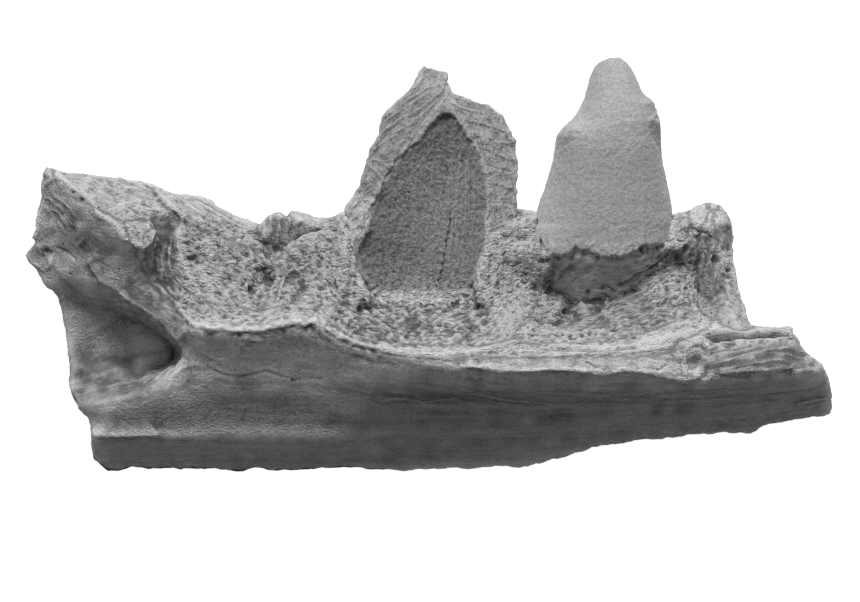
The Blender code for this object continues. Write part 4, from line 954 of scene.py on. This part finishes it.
# Split tooth: what a user would change
splitLook = {
    "voxel": 1.5,
    "faces": 130000,
    # rounds of smoothing: all over, then in the hollow and at the back
    "smoothing": 6,
    "calming": 30,
    # noise: size and seed, then how much of each the rim, the hollow, the foot and the sides get
    "noises": {"lump": (14, 31), "crumb": (6, 32), "grit": (3.4, 33)},
    "rimNoise": {"lump": 0.7, "crag": 1.0, "crumb": 0.4, "grit": 0.4},
    "cavityNoise": {"crumb": 1.0, "grit": 0.8},
    "footNoise": {"crag": 0.8, "crumb": 0.6},
    "sideNoise": {"lump": 0.5, "crag": 0.4, "crumb": 0.3, "grit": 0.2},
    # how far the border of the hollow strays: size of the noise, how far, seed
    "cavityBorder": [(12, 0.8, 7)],
    # the bowl starts this far outside its border, and fills only what is above this height: from, fully
    "bowlOutside": 3,
    "bowlFrom": (55, 62),
    # where the foot begins and is full down the sheet, and the lip on it: the same, height, how unevenly
    "foot": (268, 296),
    "lip": (284, 304, 3, 5),
    # how much each face has to look up to be no side: from, fully
    "sideSlope": (0.35, 0.75),
    # how dark the painted shade along the fine cracks is, and how wide
    "crackShade": 0.65,
    "crackWidth": 1.2,
    "cavity": [(445, 106), (436, 113), (430, 126), (416, 145), (398, 162), (387, 180), (377, 200), (371, 222),
               (364, 236), (352, 244), (358, 262), (364, 325), (476, 325), (476, 270), (484, 246), (484, 222),
               (487, 190), (480, 158), (468, 138), (458, 122)],
    # edges: y, left, right
    "outline": [(66, 424, 427), (68, 421, 433), (72, 419, 446), (82, 414, 447), (90, 408, 452),
                (96, 401, 460), (100, 397, 470), (104, 393, 489), (107, 390, 492), (112, 385, 497),
                (116, 382, 501), (120, 381, 505), (130, 379, 511), (137, 378, 512), (141, 375, 516),
                (148, 370, 516), (158, 367, 516), (170, 364, 517), (184, 360, 516), (195, 354, 516),
                (204, 347, 517), (220, 342, 519)],
    # height of the hollow's rim: y, height
    "rim": [(106, 110), (133, 116), (150, 120), (168, 124), (190, 128), (217, 132), (245, 135), (290, 133)],
    # the hollow's depth: at its edge, how soon, then towards its middle, how soon
    "bowl": (1, 5.0, 38, 78),
    "grain": [
        (26, 6.0, 30, 0.80, [(354, 200), (372, 168), (388, 140), (412, 110), (436, 84)]),
        (24, 6.5, 24, 0.80, [(452, 92), (480, 112), (500, 138), (504, 180), (500, 232)]),
        (14, 5.0, 18, 0.90, [(346, 232), (356, 210), (372, 196)]),
        (40, 5.0, 30, 0.30, [(446, 120), (432, 200), (424, 276)]),
        (14, 4.0, 13, 1.00, [(352, 280), (372, 292), (396, 298), (424, 301), (452, 299), (474, 290)]),
    ],
    # fine cracks, with painted shade along them
    "cracks": [
        [(450, 212), (450, 219), (449.5, 228)], [(448.5, 231), (447.5, 237)], [(447, 240), (445.5, 250)],
        [(445, 253), (444, 260)], [(443.5, 263), (442, 270)], [(441, 273), (439, 282)],
        [(447, 168), (446, 172)], [(445, 183), (444.5, 187)], [(444, 190), (443, 194)],
    ],
    "lines": [
        (1.2, 1.8, [(382, 133), (396, 122), (412, 113), (428, 102), (440, 92)]),
        (1.1, 1.6, [(384, 122), (398, 112), (412, 102), (426, 95)]),
        (1.1, 1.5, [(396, 133), (410, 124), (424, 112), (436, 103)]),
        (1.1, 1.4, [(402, 103), (414, 95), (428, 88), (440, 84)]),
        (1.2, 1.5, [(372, 150), (384, 142), (398, 134)]),
        (1.2, 1.6, [(368, 166), (378, 172), (386, 184)]),
        (1.1, 1.3, [(370, 158), (382, 162), (392, 170)]),
        (1.1, -1.3, [(372, 172), (380, 180), (384, 190)]),
        (1.2, 1.6, [(350, 210), (360, 202), (372, 198)]),
        (1.2, 1.5, [(346, 222), (356, 216), (370, 212)]),
        (1.2, 1.5, [(348, 232), (358, 226), (368, 226)]),
        (1.3, 1.8, [(448, 82), (456, 92), (470, 99), (488, 103)]),
        (1.2, 1.4, [(446, 96), (458, 106), (472, 110), (486, 112)]),
        (1.1, 1.3, [(462, 120), (476, 122), (492, 126), (506, 132)]),
        (1.1, 1.3, [(470, 136), (484, 136), (500, 142), (514, 144)]),
        (1.1, 1.2, [(478, 146), (492, 150), (506, 158), (515, 160)]),
        (1.1, -1.2, [(486, 164), (498, 168), (512, 172)]),
        (1.1, 1.2, [(488, 182), (500, 184), (514, 188)]),
        (1.1, 1.3, [(488, 206), (500, 204), (514, 208)]),
        (1.2, 1.6, [(487, 231), (498, 226), (512, 221)]),
        (0.9, -3.2, [(450, 217), (450, 222), (449, 228)]),
        (0.9, -3.2, [(448, 231), (447, 236)]),
        (0.9, -3.6, [(446, 239), (446, 245), (445, 250)]),
        (0.9, -3.2, [(444, 253), (444, 259)]),
        (0.9, -3.2, [(443, 262), (442, 268)]),
        (0.9, -2.8, [(441, 271), (440, 275)]),
        (0.9, -2.4, [(439, 278), (438, 282)]),
        (0.8, 0.8, [(454, 200), (452, 230), (449, 260)]),
        (0.9, 0.7, [(460, 150), (458, 190), (455, 230)]),
        (0.9, 0.7, [(466, 160), (466, 200), (462, 245)]),
        (0.9, 0.7, [(474, 170), (474, 215), (468, 262)]),
        (0.9, -0.7, [(470, 165), (470, 210), (465, 255)]),
        (0.9, 0.5, [(432, 160), (430, 200), (424, 250)]),
    ],
    "pits": [
        (448, 158, 1.3, 1.8), (447, 168, 1.2, 1.8), (446, 176, 1.2, 1.4), (445, 184, 1.5, 2.2),
        (443, 190, 1.1, 1.4), (442, 200, 1.1, 1.2), (454, 200, 1.2, 1.4), (396, 238, 1.3, 1.8),
        (394, 244, 1.1, 1.4), (395, 262, 1.2, 1.6), (394, 272, 1.3, 1.8), (396, 200, 1.5, 1.2),
        (406, 198, 1.4, 1.2), (428, 288, 1.6, 2.0), (421, 296, 1.6, 2.2), (436, 286, 1.4, 1.8),
        (465, 297, 3.4, 3.6), (440, 88, 2.2, 2.0), (430, 158, 1.4, -1.3), (438, 157, 1.4, -1.6),
        (418, 168, 1.2, -1.0), (404, 206, 1.2, -1.0), (452, 166, 1.3, -1.0), (468, 164, 1.2, -1.0),
    ],
    # painted shade in the hollow and on its walls and rims, painted light on a patch at the left and at the
    # foot: corners, soft border, tone
    "stains": [
        ([(445, 106), (430, 126), (398, 162), (377, 200), (364, 236), (352, 244), (362, 290), (474, 290),
          (484, 246), (487, 190), (480, 158), (458, 122)], 2, 0.56),
        ([(445, 106), (424, 136), (416, 156), (446, 164), (474, 156), (464, 124)], 7, 0.72),
        ([(350, 190), (366, 150), (382, 118), (420, 90), (444, 96), (396, 156), (374, 200)], 4, 0.69),
        ([(452, 92), (500, 112), (516, 150), (516, 216), (490, 230), (488, 170), (466, 122)], 4, 0.80),
        ([(400, 150), (412, 180), (404, 250), (380, 276), (356, 262), (366, 236), (378, 200)], 8, 0.86),
        ([(470, 150), (486, 190), (484, 246), (474, 276), (462, 262), (468, 200)], 7, 0.90),
        ([(342, 214), (354, 198), (374, 196), (372, 222), (352, 242), (338, 236)], 3, 1.12),
        ([(352, 276), (424, 284), (476, 276), (480, 310), (352, 310)], 7, 1.10),
    ],
}


def dressSplitTooth():
    look = splitLook
    piece = roughedOut("broken_tooth", "brokenTooth", look["voxel"])
    smoothed(piece, look["smoothing"])
    # the hollow becomes a bowl below its rim
    places = vectors(piece, "co")
    flat = onSheet(places)
    front = frontOf(piece)
    edgeDepth, edgeRun, middleDepth, middleRun = look["bowl"]
    deep = inset(wandering(flat, places, look["cavityBorder"]), look["cavity"], 90) + look["bowlOutside"]
    deep = np.maximum(deep, 0)
    bowl = np.interp(flat[:, 1], *zip(*look["rim"])) - edgeDepth * (1 - np.exp(-deep / edgeRun))
    bowl -= middleDepth * (1 - np.exp(-deep / middleRun))
    places[:, 2] += np.maximum(bowl - places[:, 2], 0) * ramp(places[:, 2], *look["bowlFrom"]) * (deep > 0)
    moved(piece, places)
    smoothed(piece, look["calming"], 1 - front * (1 - within(flat, look["cavity"], 4)))
    # the drawn edges, then all that stands out or is cut
    places = outlined(vectors(piece, "co"), look["outline"])
    normals = vectors(piece, "normal")
    front = frontOf(piece)
    flat = onSheet(places)
    x, y, z = places.T
    side = 1 - ramp(np.abs(normals[:, 2]), *look["sideSlope"])
    warp = swirl(x / 9, y / 9, z / 20, 3)
    drawn = flat + 0.8 * warp
    noises = noisesOf(places, look["noises"])
    noises["crag"] = craggy(places, warp, noises["crumb"], 15, 11, 34)
    cavity = within(flat, look["cavity"], 4)
    foot = ramp(flat[:, 1], *look["foot"]) * front
    total = layered(flat + 1.4 * warp, z, front, look["grain"], 200) * front
    total += (front * (1 - cavity) * blended(noises, look["rimNoise"])
              + cavity * front * blended(noises, look["cavityNoise"]))
    total += foot * blended(noises, look["footNoise"])
    total += side * blended(noises, look["sideNoise"])
    total += strokes(drawn, front, look["lines"])
    total += hollows(drawn, front, look["pits"])
    places = places + normals * total[:, None]
    low, full, tall, uneven = look["lip"]
    places[:, 2] += ramp(flat[:, 1], low, full) * front * (tall + uneven * cloudy(x / 11, y / 11, 0, 35))
    moved(piece, places)
    thinned(piece, look["faces"])
    # what the materials read
    places = vectors(piece, "co")
    flat = onSheet(places)
    foot = ramp(flat[:, 1], 270, 292)
    # painted shade along the fine cracks
    dark = look["crackShade"] * closeness(flat, look["cracks"], look["crackWidth"])
    # with the painted shade and light of the drawn areas
    noted(piece, flow=flowOf(flat, places[:, 2], look["grain"]), pitted=0.6 * foot,
          streaky=0.8 - 0.4 * within(flat, look["cavity"], 3) + 0.5 * foot,
          stain=stained(flat, look["stains"]) * (1 - dark))
    return piece


# Whole tooth: what a user would change
wholeLook = {
    "voxel": 1.7,
    "faces": 90000,
    "smoothing": 24,
    # noise: size and seed, then how much of each the tooth gets, and its foot besides
    "noises": {"lump": (20, 41), "crumb": (6, 42), "grit": (3.8, 43)},
    "crownNoise": {"lump": 0.5, "crumb": 0.45, "grit": 0.55},
    "footNoise": {"crumb": 0.8, "grit": 0.5},
    # where the foot begins and is full down the sheet, and its ragged hem: size across, size in depth, how
    # far, seed
    "foot": (236, 250),
    "hem": [(8, 30, 3.0, 44), (3.5, 20, 2.0, 45)],
    "streaky": 0.22,
    # edges: y, left, right
    "outline": [(56, 612, 618), (58, 607, 622), (61, 600, 626), (67, 594, 631), (78, 590, 637),
                (88, 587, 641), (95, 585, 646), (99, 584, 651), (103, 582, 655), (113, 577, 658),
                (118, 573, 660), (122, 570, 661), (128, 562, 661), (135, 557, 661), (148, 555, 662),
                (160, 553, 663), (170, 550, 665), (180, 547, 667), (190, 544, 669), (200, 540, 671),
                (206, 538, 672), (216, 536, 673), (230, 536, 674)],
    "lines": [
        (2.2, 2.2, [(562, 130), (570, 124), (578, 116), (583, 106)]),
        (1.6, 1.8, [(566, 132), (572, 131), (578, 126)]),
        (1.8, 1.8, [(646, 96), (652, 104), (655, 114), (648, 122)]),
        (1.0, 1.1, [(612, 61), (618, 58), (624, 60)]),
        (0.9, -0.8, [(606, 62), (613, 62), (619, 64)]),
        (0.7, 0.7, [(614, 158), (620, 154), (627, 150)]),
        (0.7, 0.6, [(653, 186), (658, 182), (663, 177)]),
        (0.7, 0.4, [(575, 160), (582, 153), (588, 150)]),
    ],
    "pits": [
        (577, 133, 1.6, 1.6), (655, 106, 1.9, 2.0), (657, 113, 1.6, 1.5), (642, 91, 1.6, 1.6),
        (634, 116, 1.3, -0.7), (566, 182, 1.4, -0.5), (601, 163, 1.1, -0.5), (625, 180, 1.2, -0.6),
        (573, 108, 1.2, 0.8),
    ],
    "tilts": [
        ([(647, 124), (655, 118), (663, 120), (666, 160), (656, 146), (650, 134)], 1.5, (650, 120, 1),
         (662, 146, -5)),
        ([(558, 133), (566, 133), (576, 137), (566, 146), (556, 152)], 1.5, (562, 133, 1), (562, 150, -4)),
        ([(646, 97), (652, 98), (660, 112), (661, 120), (652, 118), (646, 108)], 1.5, (647, 104, 1),
         (660, 110, -3)),
        ([(596, 63), (612, 62), (613, 78), (608, 92), (598, 96), (588, 92)], 2, (596, 66, -2), (612, 80, 0)),
    ],
    # painted shade and painted light: darker across the middle and on facets turned down, paler along the
    # left edge and the top
    "stains": [
        ([(560, 150), (600, 146), (660, 150), (672, 200), (650, 240), (570, 244), (556, 206)], 22, 0.72),
        ([(530, 240), (548, 170), (556, 170), (548, 215), (560, 250), (544, 256)], 5, 1.12),
        ([(596, 60), (612, 62), (612, 80), (606, 96), (588, 96)], 3, 0.90),
        ([(650, 122), (664, 120), (668, 160), (656, 148)], 2, 0.80),
        ([(558, 134), (574, 137), (568, 150), (556, 156)], 2, 0.84),
        ([(564, 128), (572, 118), (582, 112), (586, 122), (578, 130)], 3, 1.14),
        ([(580, 96), (650, 100), (656, 122), (640, 140), (580, 136), (564, 128)], 8, 1.03),
    ],
}


def dressWholeTooth():
    look = wholeLook
    piece = roughedOut("whole_tooth", "wholeTooth", look["voxel"])
    smoothed(piece, look["smoothing"])
    places = outlined(vectors(piece, "co"), look["outline"])
    flat = onSheet(places)
    front = frontOf(piece)
    x, _, z = places.T
    noises = noisesOf(places, look["noises"])
    foot = ramp(flat[:, 1], *look["foot"])
    total = blended(noises, look["crownNoise"]) + foot * blended(noises, look["footNoise"])
    total += strokes(flat, front, look["lines"])
    total += hollows(flat, front, look["pits"])
    places = places + vectors(piece, "normal") * total[:, None]
    places[:, 2] += tilts(flat, front, look["tilts"])
    places[:, 1] += foot * sum(far * cloudy(x / wide, z / deep, 0, seed)
                               for wide, deep, far, seed in look["hem"])
    moved(piece, places)
    thinned(piece, look["faces"])
    places = vectors(piece, "co")
    x, y, z = places.T
    # with the painted shade and light of the drawn areas
    noted(piece, flow=np.stack((0.8 * x + 0.6 * y, 0.8 * y - 0.6 * x, z), -1), pitted=np.zeros(len(places)),
          streaky=np.full(len(places), look["streaky"]), stain=stained(onSheet(places), look["stains"]))
    return piece


def newGroup(name, inputs, outputs):
    group = bpy.data.node_groups.new(name, "ShaderNodeTree")
    for label, kind, value in inputs:
        socket = group.interface.new_socket(label, in_out="INPUT", socket_type=kind)
        socket.default_value = value
    for label, kind in outputs:
        group.interface.new_socket(label, in_out="OUTPUT", socket_type=kind)
    return group, group.nodes.new("NodeGroupInput"), group.nodes.new("NodeGroupOutput")


def computed(tree, operation, first, second=None, third=None):
    node = tree.nodes.new("ShaderNodeMath")
    node.operation = operation
    for socket, value in zip(node.inputs, (first, second, third)):
        if value is None:
            continue
        if isinstance(value, (int, float)):
            socket.default_value = value
        else:
            tree.links.new(value, socket)
    return node.outputs[0]


def mixedIn(tree, base, *parts):
    # adds an amount of each part to a base
    for part, amount in parts:
        base = computed(tree, "ADD", base, computed(tree, "MULTIPLY", part, amount))
    return base


def crest(tree, noise, width):
    # a ridge wherever a noise passes through the middle
    return computed(tree, "SUBTRACT", width, computed(tree, "ABSOLUTE", noise))


def stretched(group, vector, size, unit):
    # a vector in waves that have a size for each axis
    sized = group.nodes.new("ShaderNodeVectorMath")
    sized.operation = "MULTIPLY"
    sized.inputs[1].default_value = tuple(unit / part for part in size)
    group.links.new(vector, sized.inputs[0])
    return sized.outputs[0]


def mappedNoise(group, vector, unit, size, detail, roughness):
    cloud = group.nodes.new("ShaderNodeTexNoise")
    cloud.inputs["Scale"].default_value = 1.0
    cloud.inputs["Detail"].default_value = detail
    cloud.inputs["Roughness"].default_value = roughness
    group.links.new(stretched(group, vector, size, unit), cloud.inputs["Vector"])
    return computed(group, "SUBTRACT", cloud.outputs["Fac"], 0.5)


def attributeOf(tree, name, output="Fac"):
    node = tree.nodes.new("ShaderNodeAttribute")
    node.attribute_name = name
    return node.outputs[output]


# Fine grain of bone and tooth: what a user would change
grainLook = {
    # noise: size to each axis in working units, detail, roughness
    "fine": ((2.6, 2.6, 2.6), 2.0, 0.6),
    "speck": ((1.5, 1.5, 1.5), 1.0, 0.6),
    "broad": ((45, 45, 45), 4.0, 0.6),
    "chips": ((9, 3.5, 7), 1.0, 0.5),
    # the same along the grain, across it and up, and the size of the cells that hold a pore each
    "layers": ((8, 2, 2.5), 2.0, 0.6),
    "cells": (8, 3.6, 6),
    # how wide the crests of the layers and the chips are
    "layerCrest": 0.12,
    "chipCrest": 0.08,
    # how few cells have a pore, and how narrow it is
    "fewPores": 0.45,
    "narrowPores": 2.7,
    "chipHeight": 8.0,
    # how much each adds to the tone: the broad noise as the bone's own patchy tone, the layer streaks, fine
    # grain and chips as painted highlight on their crests and painted shade between, and the pores' depth as
    # painted shade in them
    "toneAndPaintedShade": {"broad": 0.14, "streaks": 5.0, "fine": 0.7, "chips": 1.2, "deep": -0.6},
}


def grainGroup():
    # fine grain, layers and pores of fossil bone and tooth: a height in working units and a tone about 1,
    # which holds painted highlight on crests and painted shade in grooves and pores
    look = grainLook
    group, given, out = newGroup(
        "fineGrain", [("Grain", "NodeSocketFloat", 1.0), ("Layers", "NodeSocketFloat", 1.0),
                      ("Pores", "NodeSocketFloat", 1.0), ("Speckle", "NodeSocketFloat", 0.5)],
        [("Height", "NodeSocketFloat"), ("Tone", "NodeSocketFloat")])
    spot = group.nodes.new("ShaderNodeTexCoord").outputs["Object"]
    flow = attributeOf(group, "flow", "Vector")
    pitted = attributeOf(group, "pitted")
    fine, speck, broad, chips = (mappedNoise(group, spot, 1 / workUnit, *look[name])
                                 for name in ("fine", "speck", "broad", "chips"))
    streaks = computed(group, "MULTIPLY", attributeOf(group, "streaky"),
                       crest(group, mappedNoise(group, flow, 1, *look["layers"]), look["layerCrest"]))
    chips = computed(group, "MULTIPLY", crest(group, chips, look["chipCrest"]), pitted)
    cells = group.nodes.new("ShaderNodeTexVoronoi")
    cells.inputs["Scale"].default_value = 1.0
    group.links.new(stretched(group, flow, look["cells"], 1), cells.inputs["Vector"])
    chosen = computed(group, "GREATER_THAN", pitted,
                      computed(group, "ADD", cells.outputs["Color"], look["fewPores"]))
    well = computed(group, "SUBTRACT", 1.0,
                    computed(group, "MULTIPLY", cells.outputs["Distance"], look["narrowPores"]))
    well = computed(group, "MULTIPLY", chosen, computed(group, "MAXIMUM", well, 0.0))
    deep = computed(group, "MULTIPLY", well, given.outputs["Pores"])
    height = mixedIn(group, 0.0, (fine, given.outputs["Grain"]), (chips, look["chipHeight"]),
                     (streaks, given.outputs["Layers"]), (deep, -1.0))
    group.links.new(height, out.inputs["Height"])
    parts = {"broad": broad, "streaks": streaks, "fine": fine, "chips": chips, "deep": deep}
    tone = mixedIn(group, 1.0, (speck, given.outputs["Speckle"]),
                   *((parts[name], amount) for name, amount in look["toneAndPaintedShade"].items()))
    # times the painted shade and light, with stains, noted on each vertex
    group.links.new(computed(group, "MULTIPLY", tone, attributeOf(group, "stain")), out.inputs["Tone"])
    return group


def reliefShadingGroup(darkest=0.25, palest=1.9):
    # painted highlight on edges that stand out, painted shade in hollows
    group, given, out = newGroup(
        "reliefHighlightAndShade", [("Tone", "NodeSocketFloat", 1.0), ("Edge Highlight", "NodeSocketFloat", 0.5),
                       ("Hollow Shade", "NodeSocketFloat", 0.5),
                       ("Colour", "NodeSocketColor", (0.3, 0.3, 0.3, 1))],
        [("Colour", "NodeSocketColor")])
    tone = mixedIn(group, given.outputs["Tone"], (attributeOf(group, "edge"), given.outputs["Edge Highlight"]),
                   (attributeOf(group, "hollow"), given.outputs["Hollow Shade"]))
    tone = computed(group, "MINIMUM", computed(group, "MAXIMUM", tone, darkest), palest)
    colour = group.nodes.new("ShaderNodeVectorMath")
    colour.operation = "SCALE"
    group.links.new(given.outputs["Colour"], colour.inputs[0])
    group.links.new(tone, colour.inputs["Scale"])
    group.links.new(colour.outputs[0], out.inputs["Colour"])
    return group


# Materials: what a user would change
materialLooks = {
    "fossilBone": {
        "colour": (0.300, 0.298, 0.293, 1), "roughness": 0.85, "specular": 0.25, "sheen": 0.30,
        "grain": 2.0, "layers": 8.0, "pores": 1.8, "speckle": 1.2, "edgeHighlight": 0.90, "hollowShade": 0.12},
    "brokenDentine": {
        "colour": (0.285, 0.283, 0.278, 1), "roughness": 0.85, "specular": 0.25, "sheen": 0.30,
        "grain": 2.2, "layers": 6.0, "pores": 1.6, "speckle": 1.1, "edgeHighlight": 0.75, "hollowShade": 0.10},
    "toothEnamel": {
        "colour": (0.296, 0.294, 0.289, 1), "roughness": 0.70, "specular": 0.30, "sheen": 0.30,
        "grain": 1.3, "layers": 2.4, "pores": 0.0, "speckle": 0.8, "edgeHighlight": 0.50, "hollowShade": 0.05},
}


def fossilMaterial(name, look, grain, relief):
    material = bpy.data.materials.new(name)
    material.use_nodes = True
    tree = material.node_tree
    shader = tree.nodes["Principled BSDF"]
    shader.inputs["Roughness"].default_value = look["roughness"]
    shader.inputs["Specular IOR Level"].default_value = look["specular"]
    shader.inputs["Sheen Weight"].default_value = look["sheen"]
    fine = tree.nodes.new("ShaderNodeGroup")
    fine.node_tree = grain
    for label in ("Grain", "Layers", "Pores", "Speckle"):
        fine.inputs[label].default_value = look[label.lower()]
    toned = tree.nodes.new("ShaderNodeGroup")
    toned.node_tree = relief
    toned.inputs["Edge Highlight"].default_value = look["edgeHighlight"]
    toned.inputs["Hollow Shade"].default_value = look["hollowShade"]
    toned.inputs["Colour"].default_value = look["colour"]
    tree.links.new(fine.outputs["Tone"], toned.inputs["Tone"])
    tree.links.new(toned.outputs["Colour"], shader.inputs["Base Color"])
    bump = tree.nodes.new("ShaderNodeBump")
    bump.inputs["Strength"].default_value = 1.0
    bump.inputs["Distance"].default_value = workUnit
    tree.links.new(fine.outputs["Height"], bump.inputs["Height"])
    tree.links.new(bump.outputs["Normal"], shader.inputs["Normal"])
    return material


splitTooth = dressSplitTooth()
wholeTooth = dressWholeTooth()
bone = dressJawBone((splitTooth, wholeTooth))
grain, relief = grainGroup(), reliefShadingGroup()
for piece, node, slot, materialName in (
        (bone, "jaw_bone", "bone", "fossilBone"),
        (splitTooth, "broken_tooth", "broken_dentine", "brokenDentine"),
        (wholeTooth, "whole_tooth", "enamel", "toothEnamel")):
    piece.vertex_groups.clear()
    scaled(piece, workUnit)
    bpy.ops.object.shade_smooth()
    piece.data.materials.append(fossilMaterial(materialName, materialLooks[materialName], grain, relief))
    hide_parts(node)
    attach(piece, "root")
print("pieces finished")

# Floor, light and camera: what a user would change
stageLook = {
    "floorSize": 0.5,
    "floorTone": 0.30,
    "floorRoughness": 0.9,
    # light from the floor and the sky, and how much brighter the camera sees them
    "floorGlow": (0.34, 0.62),
    "skyGlow": (0.10, 0.90),
    # name, towards the sun, strength, spread in degrees
    "suns": [("keyLight", (-0.1, 1.0, 0.75), 4.0, 24), ("frontLight", (0.0, 0.1, 1.0), 0.40, 60)],
    "cameraLens": 900.0,
    "sensor": 36.0,
    "pictureWidth": 0.0086,
    "aim": (0.0, -0.000365, 0.00135),
    "clip": (0.01, 2.0),
}


def glowing(tree, strength, light, seenMore):
    # one strength for the light that is given, and a higher one for what the camera sees
    path = tree.nodes.new("ShaderNodeLightPath")
    tree.links.new(computed(tree, "MULTIPLY_ADD", path.outputs["Is Camera Ray"], seenMore, light), strength)


def addFloor():
    deselectAll()
    bpy.ops.mesh.primitive_plane_add(size=stageLook["floorSize"])
    floor = bpy.context.object
    floor.name = "floor"
    material = bpy.data.materials.new("paleFloor")
    material.use_nodes = True
    shader = material.node_tree.nodes["Principled BSDF"]
    tone = stageLook["floorTone"]
    shader.inputs["Base Color"].default_value = (tone, tone, tone, 1)
    shader.inputs["Roughness"].default_value = stageLook["floorRoughness"]
    shader.inputs["Emission Color"].default_value = (1, 1, 1, 1)
    glowing(material.node_tree, shader.inputs["Emission Strength"], *stageLook["floorGlow"])
    floor.data.materials.append(material)


def addSun(name, towards, strength, spread):
    bpy.ops.object.light_add(type="SUN")
    sun = bpy.context.object
    sun.name = name
    sun.data.energy = strength
    sun.data.angle = math.radians(spread)
    sun.rotation_euler = Vector(towards).to_track_quat("Z", "Y").to_euler()


def addSky():
    world = bpy.data.worlds.new("softSky")
    bpy.context.scene.world = world
    world.use_nodes = True
    background = world.node_tree.nodes["Background"]
    background.inputs["Color"].default_value = (1, 1, 1, 1)
    glowing(world.node_tree, background.inputs["Strength"], *stageLook["skyGlow"])


def addCamera():
    # straight above, so far off that the picture's width fits
    aimX, aimY, aimZ = stageLook["aim"]
    away = stageLook["pictureWidth"] * stageLook["cameraLens"] / stageLook["sensor"]
    bpy.ops.object.camera_add(location=(aimX, aimY, aimZ + away), rotation=(0, 0, 0))
    camera = bpy.context.object
    camera.data.lens = stageLook["cameraLens"]
    camera.data.sensor_width = stageLook["sensor"]
    camera.data.clip_start, camera.data.clip_end = stageLook["clip"]
    bpy.context.scene.camera = camera


addFloor()
for sun in stageLook["suns"]:
    addSun(*sun)
addSky()
addCamera()
bpy.context.scene.view_settings.view_transform = "Standard"
print("floor, light and camera set")

print("scene ready")
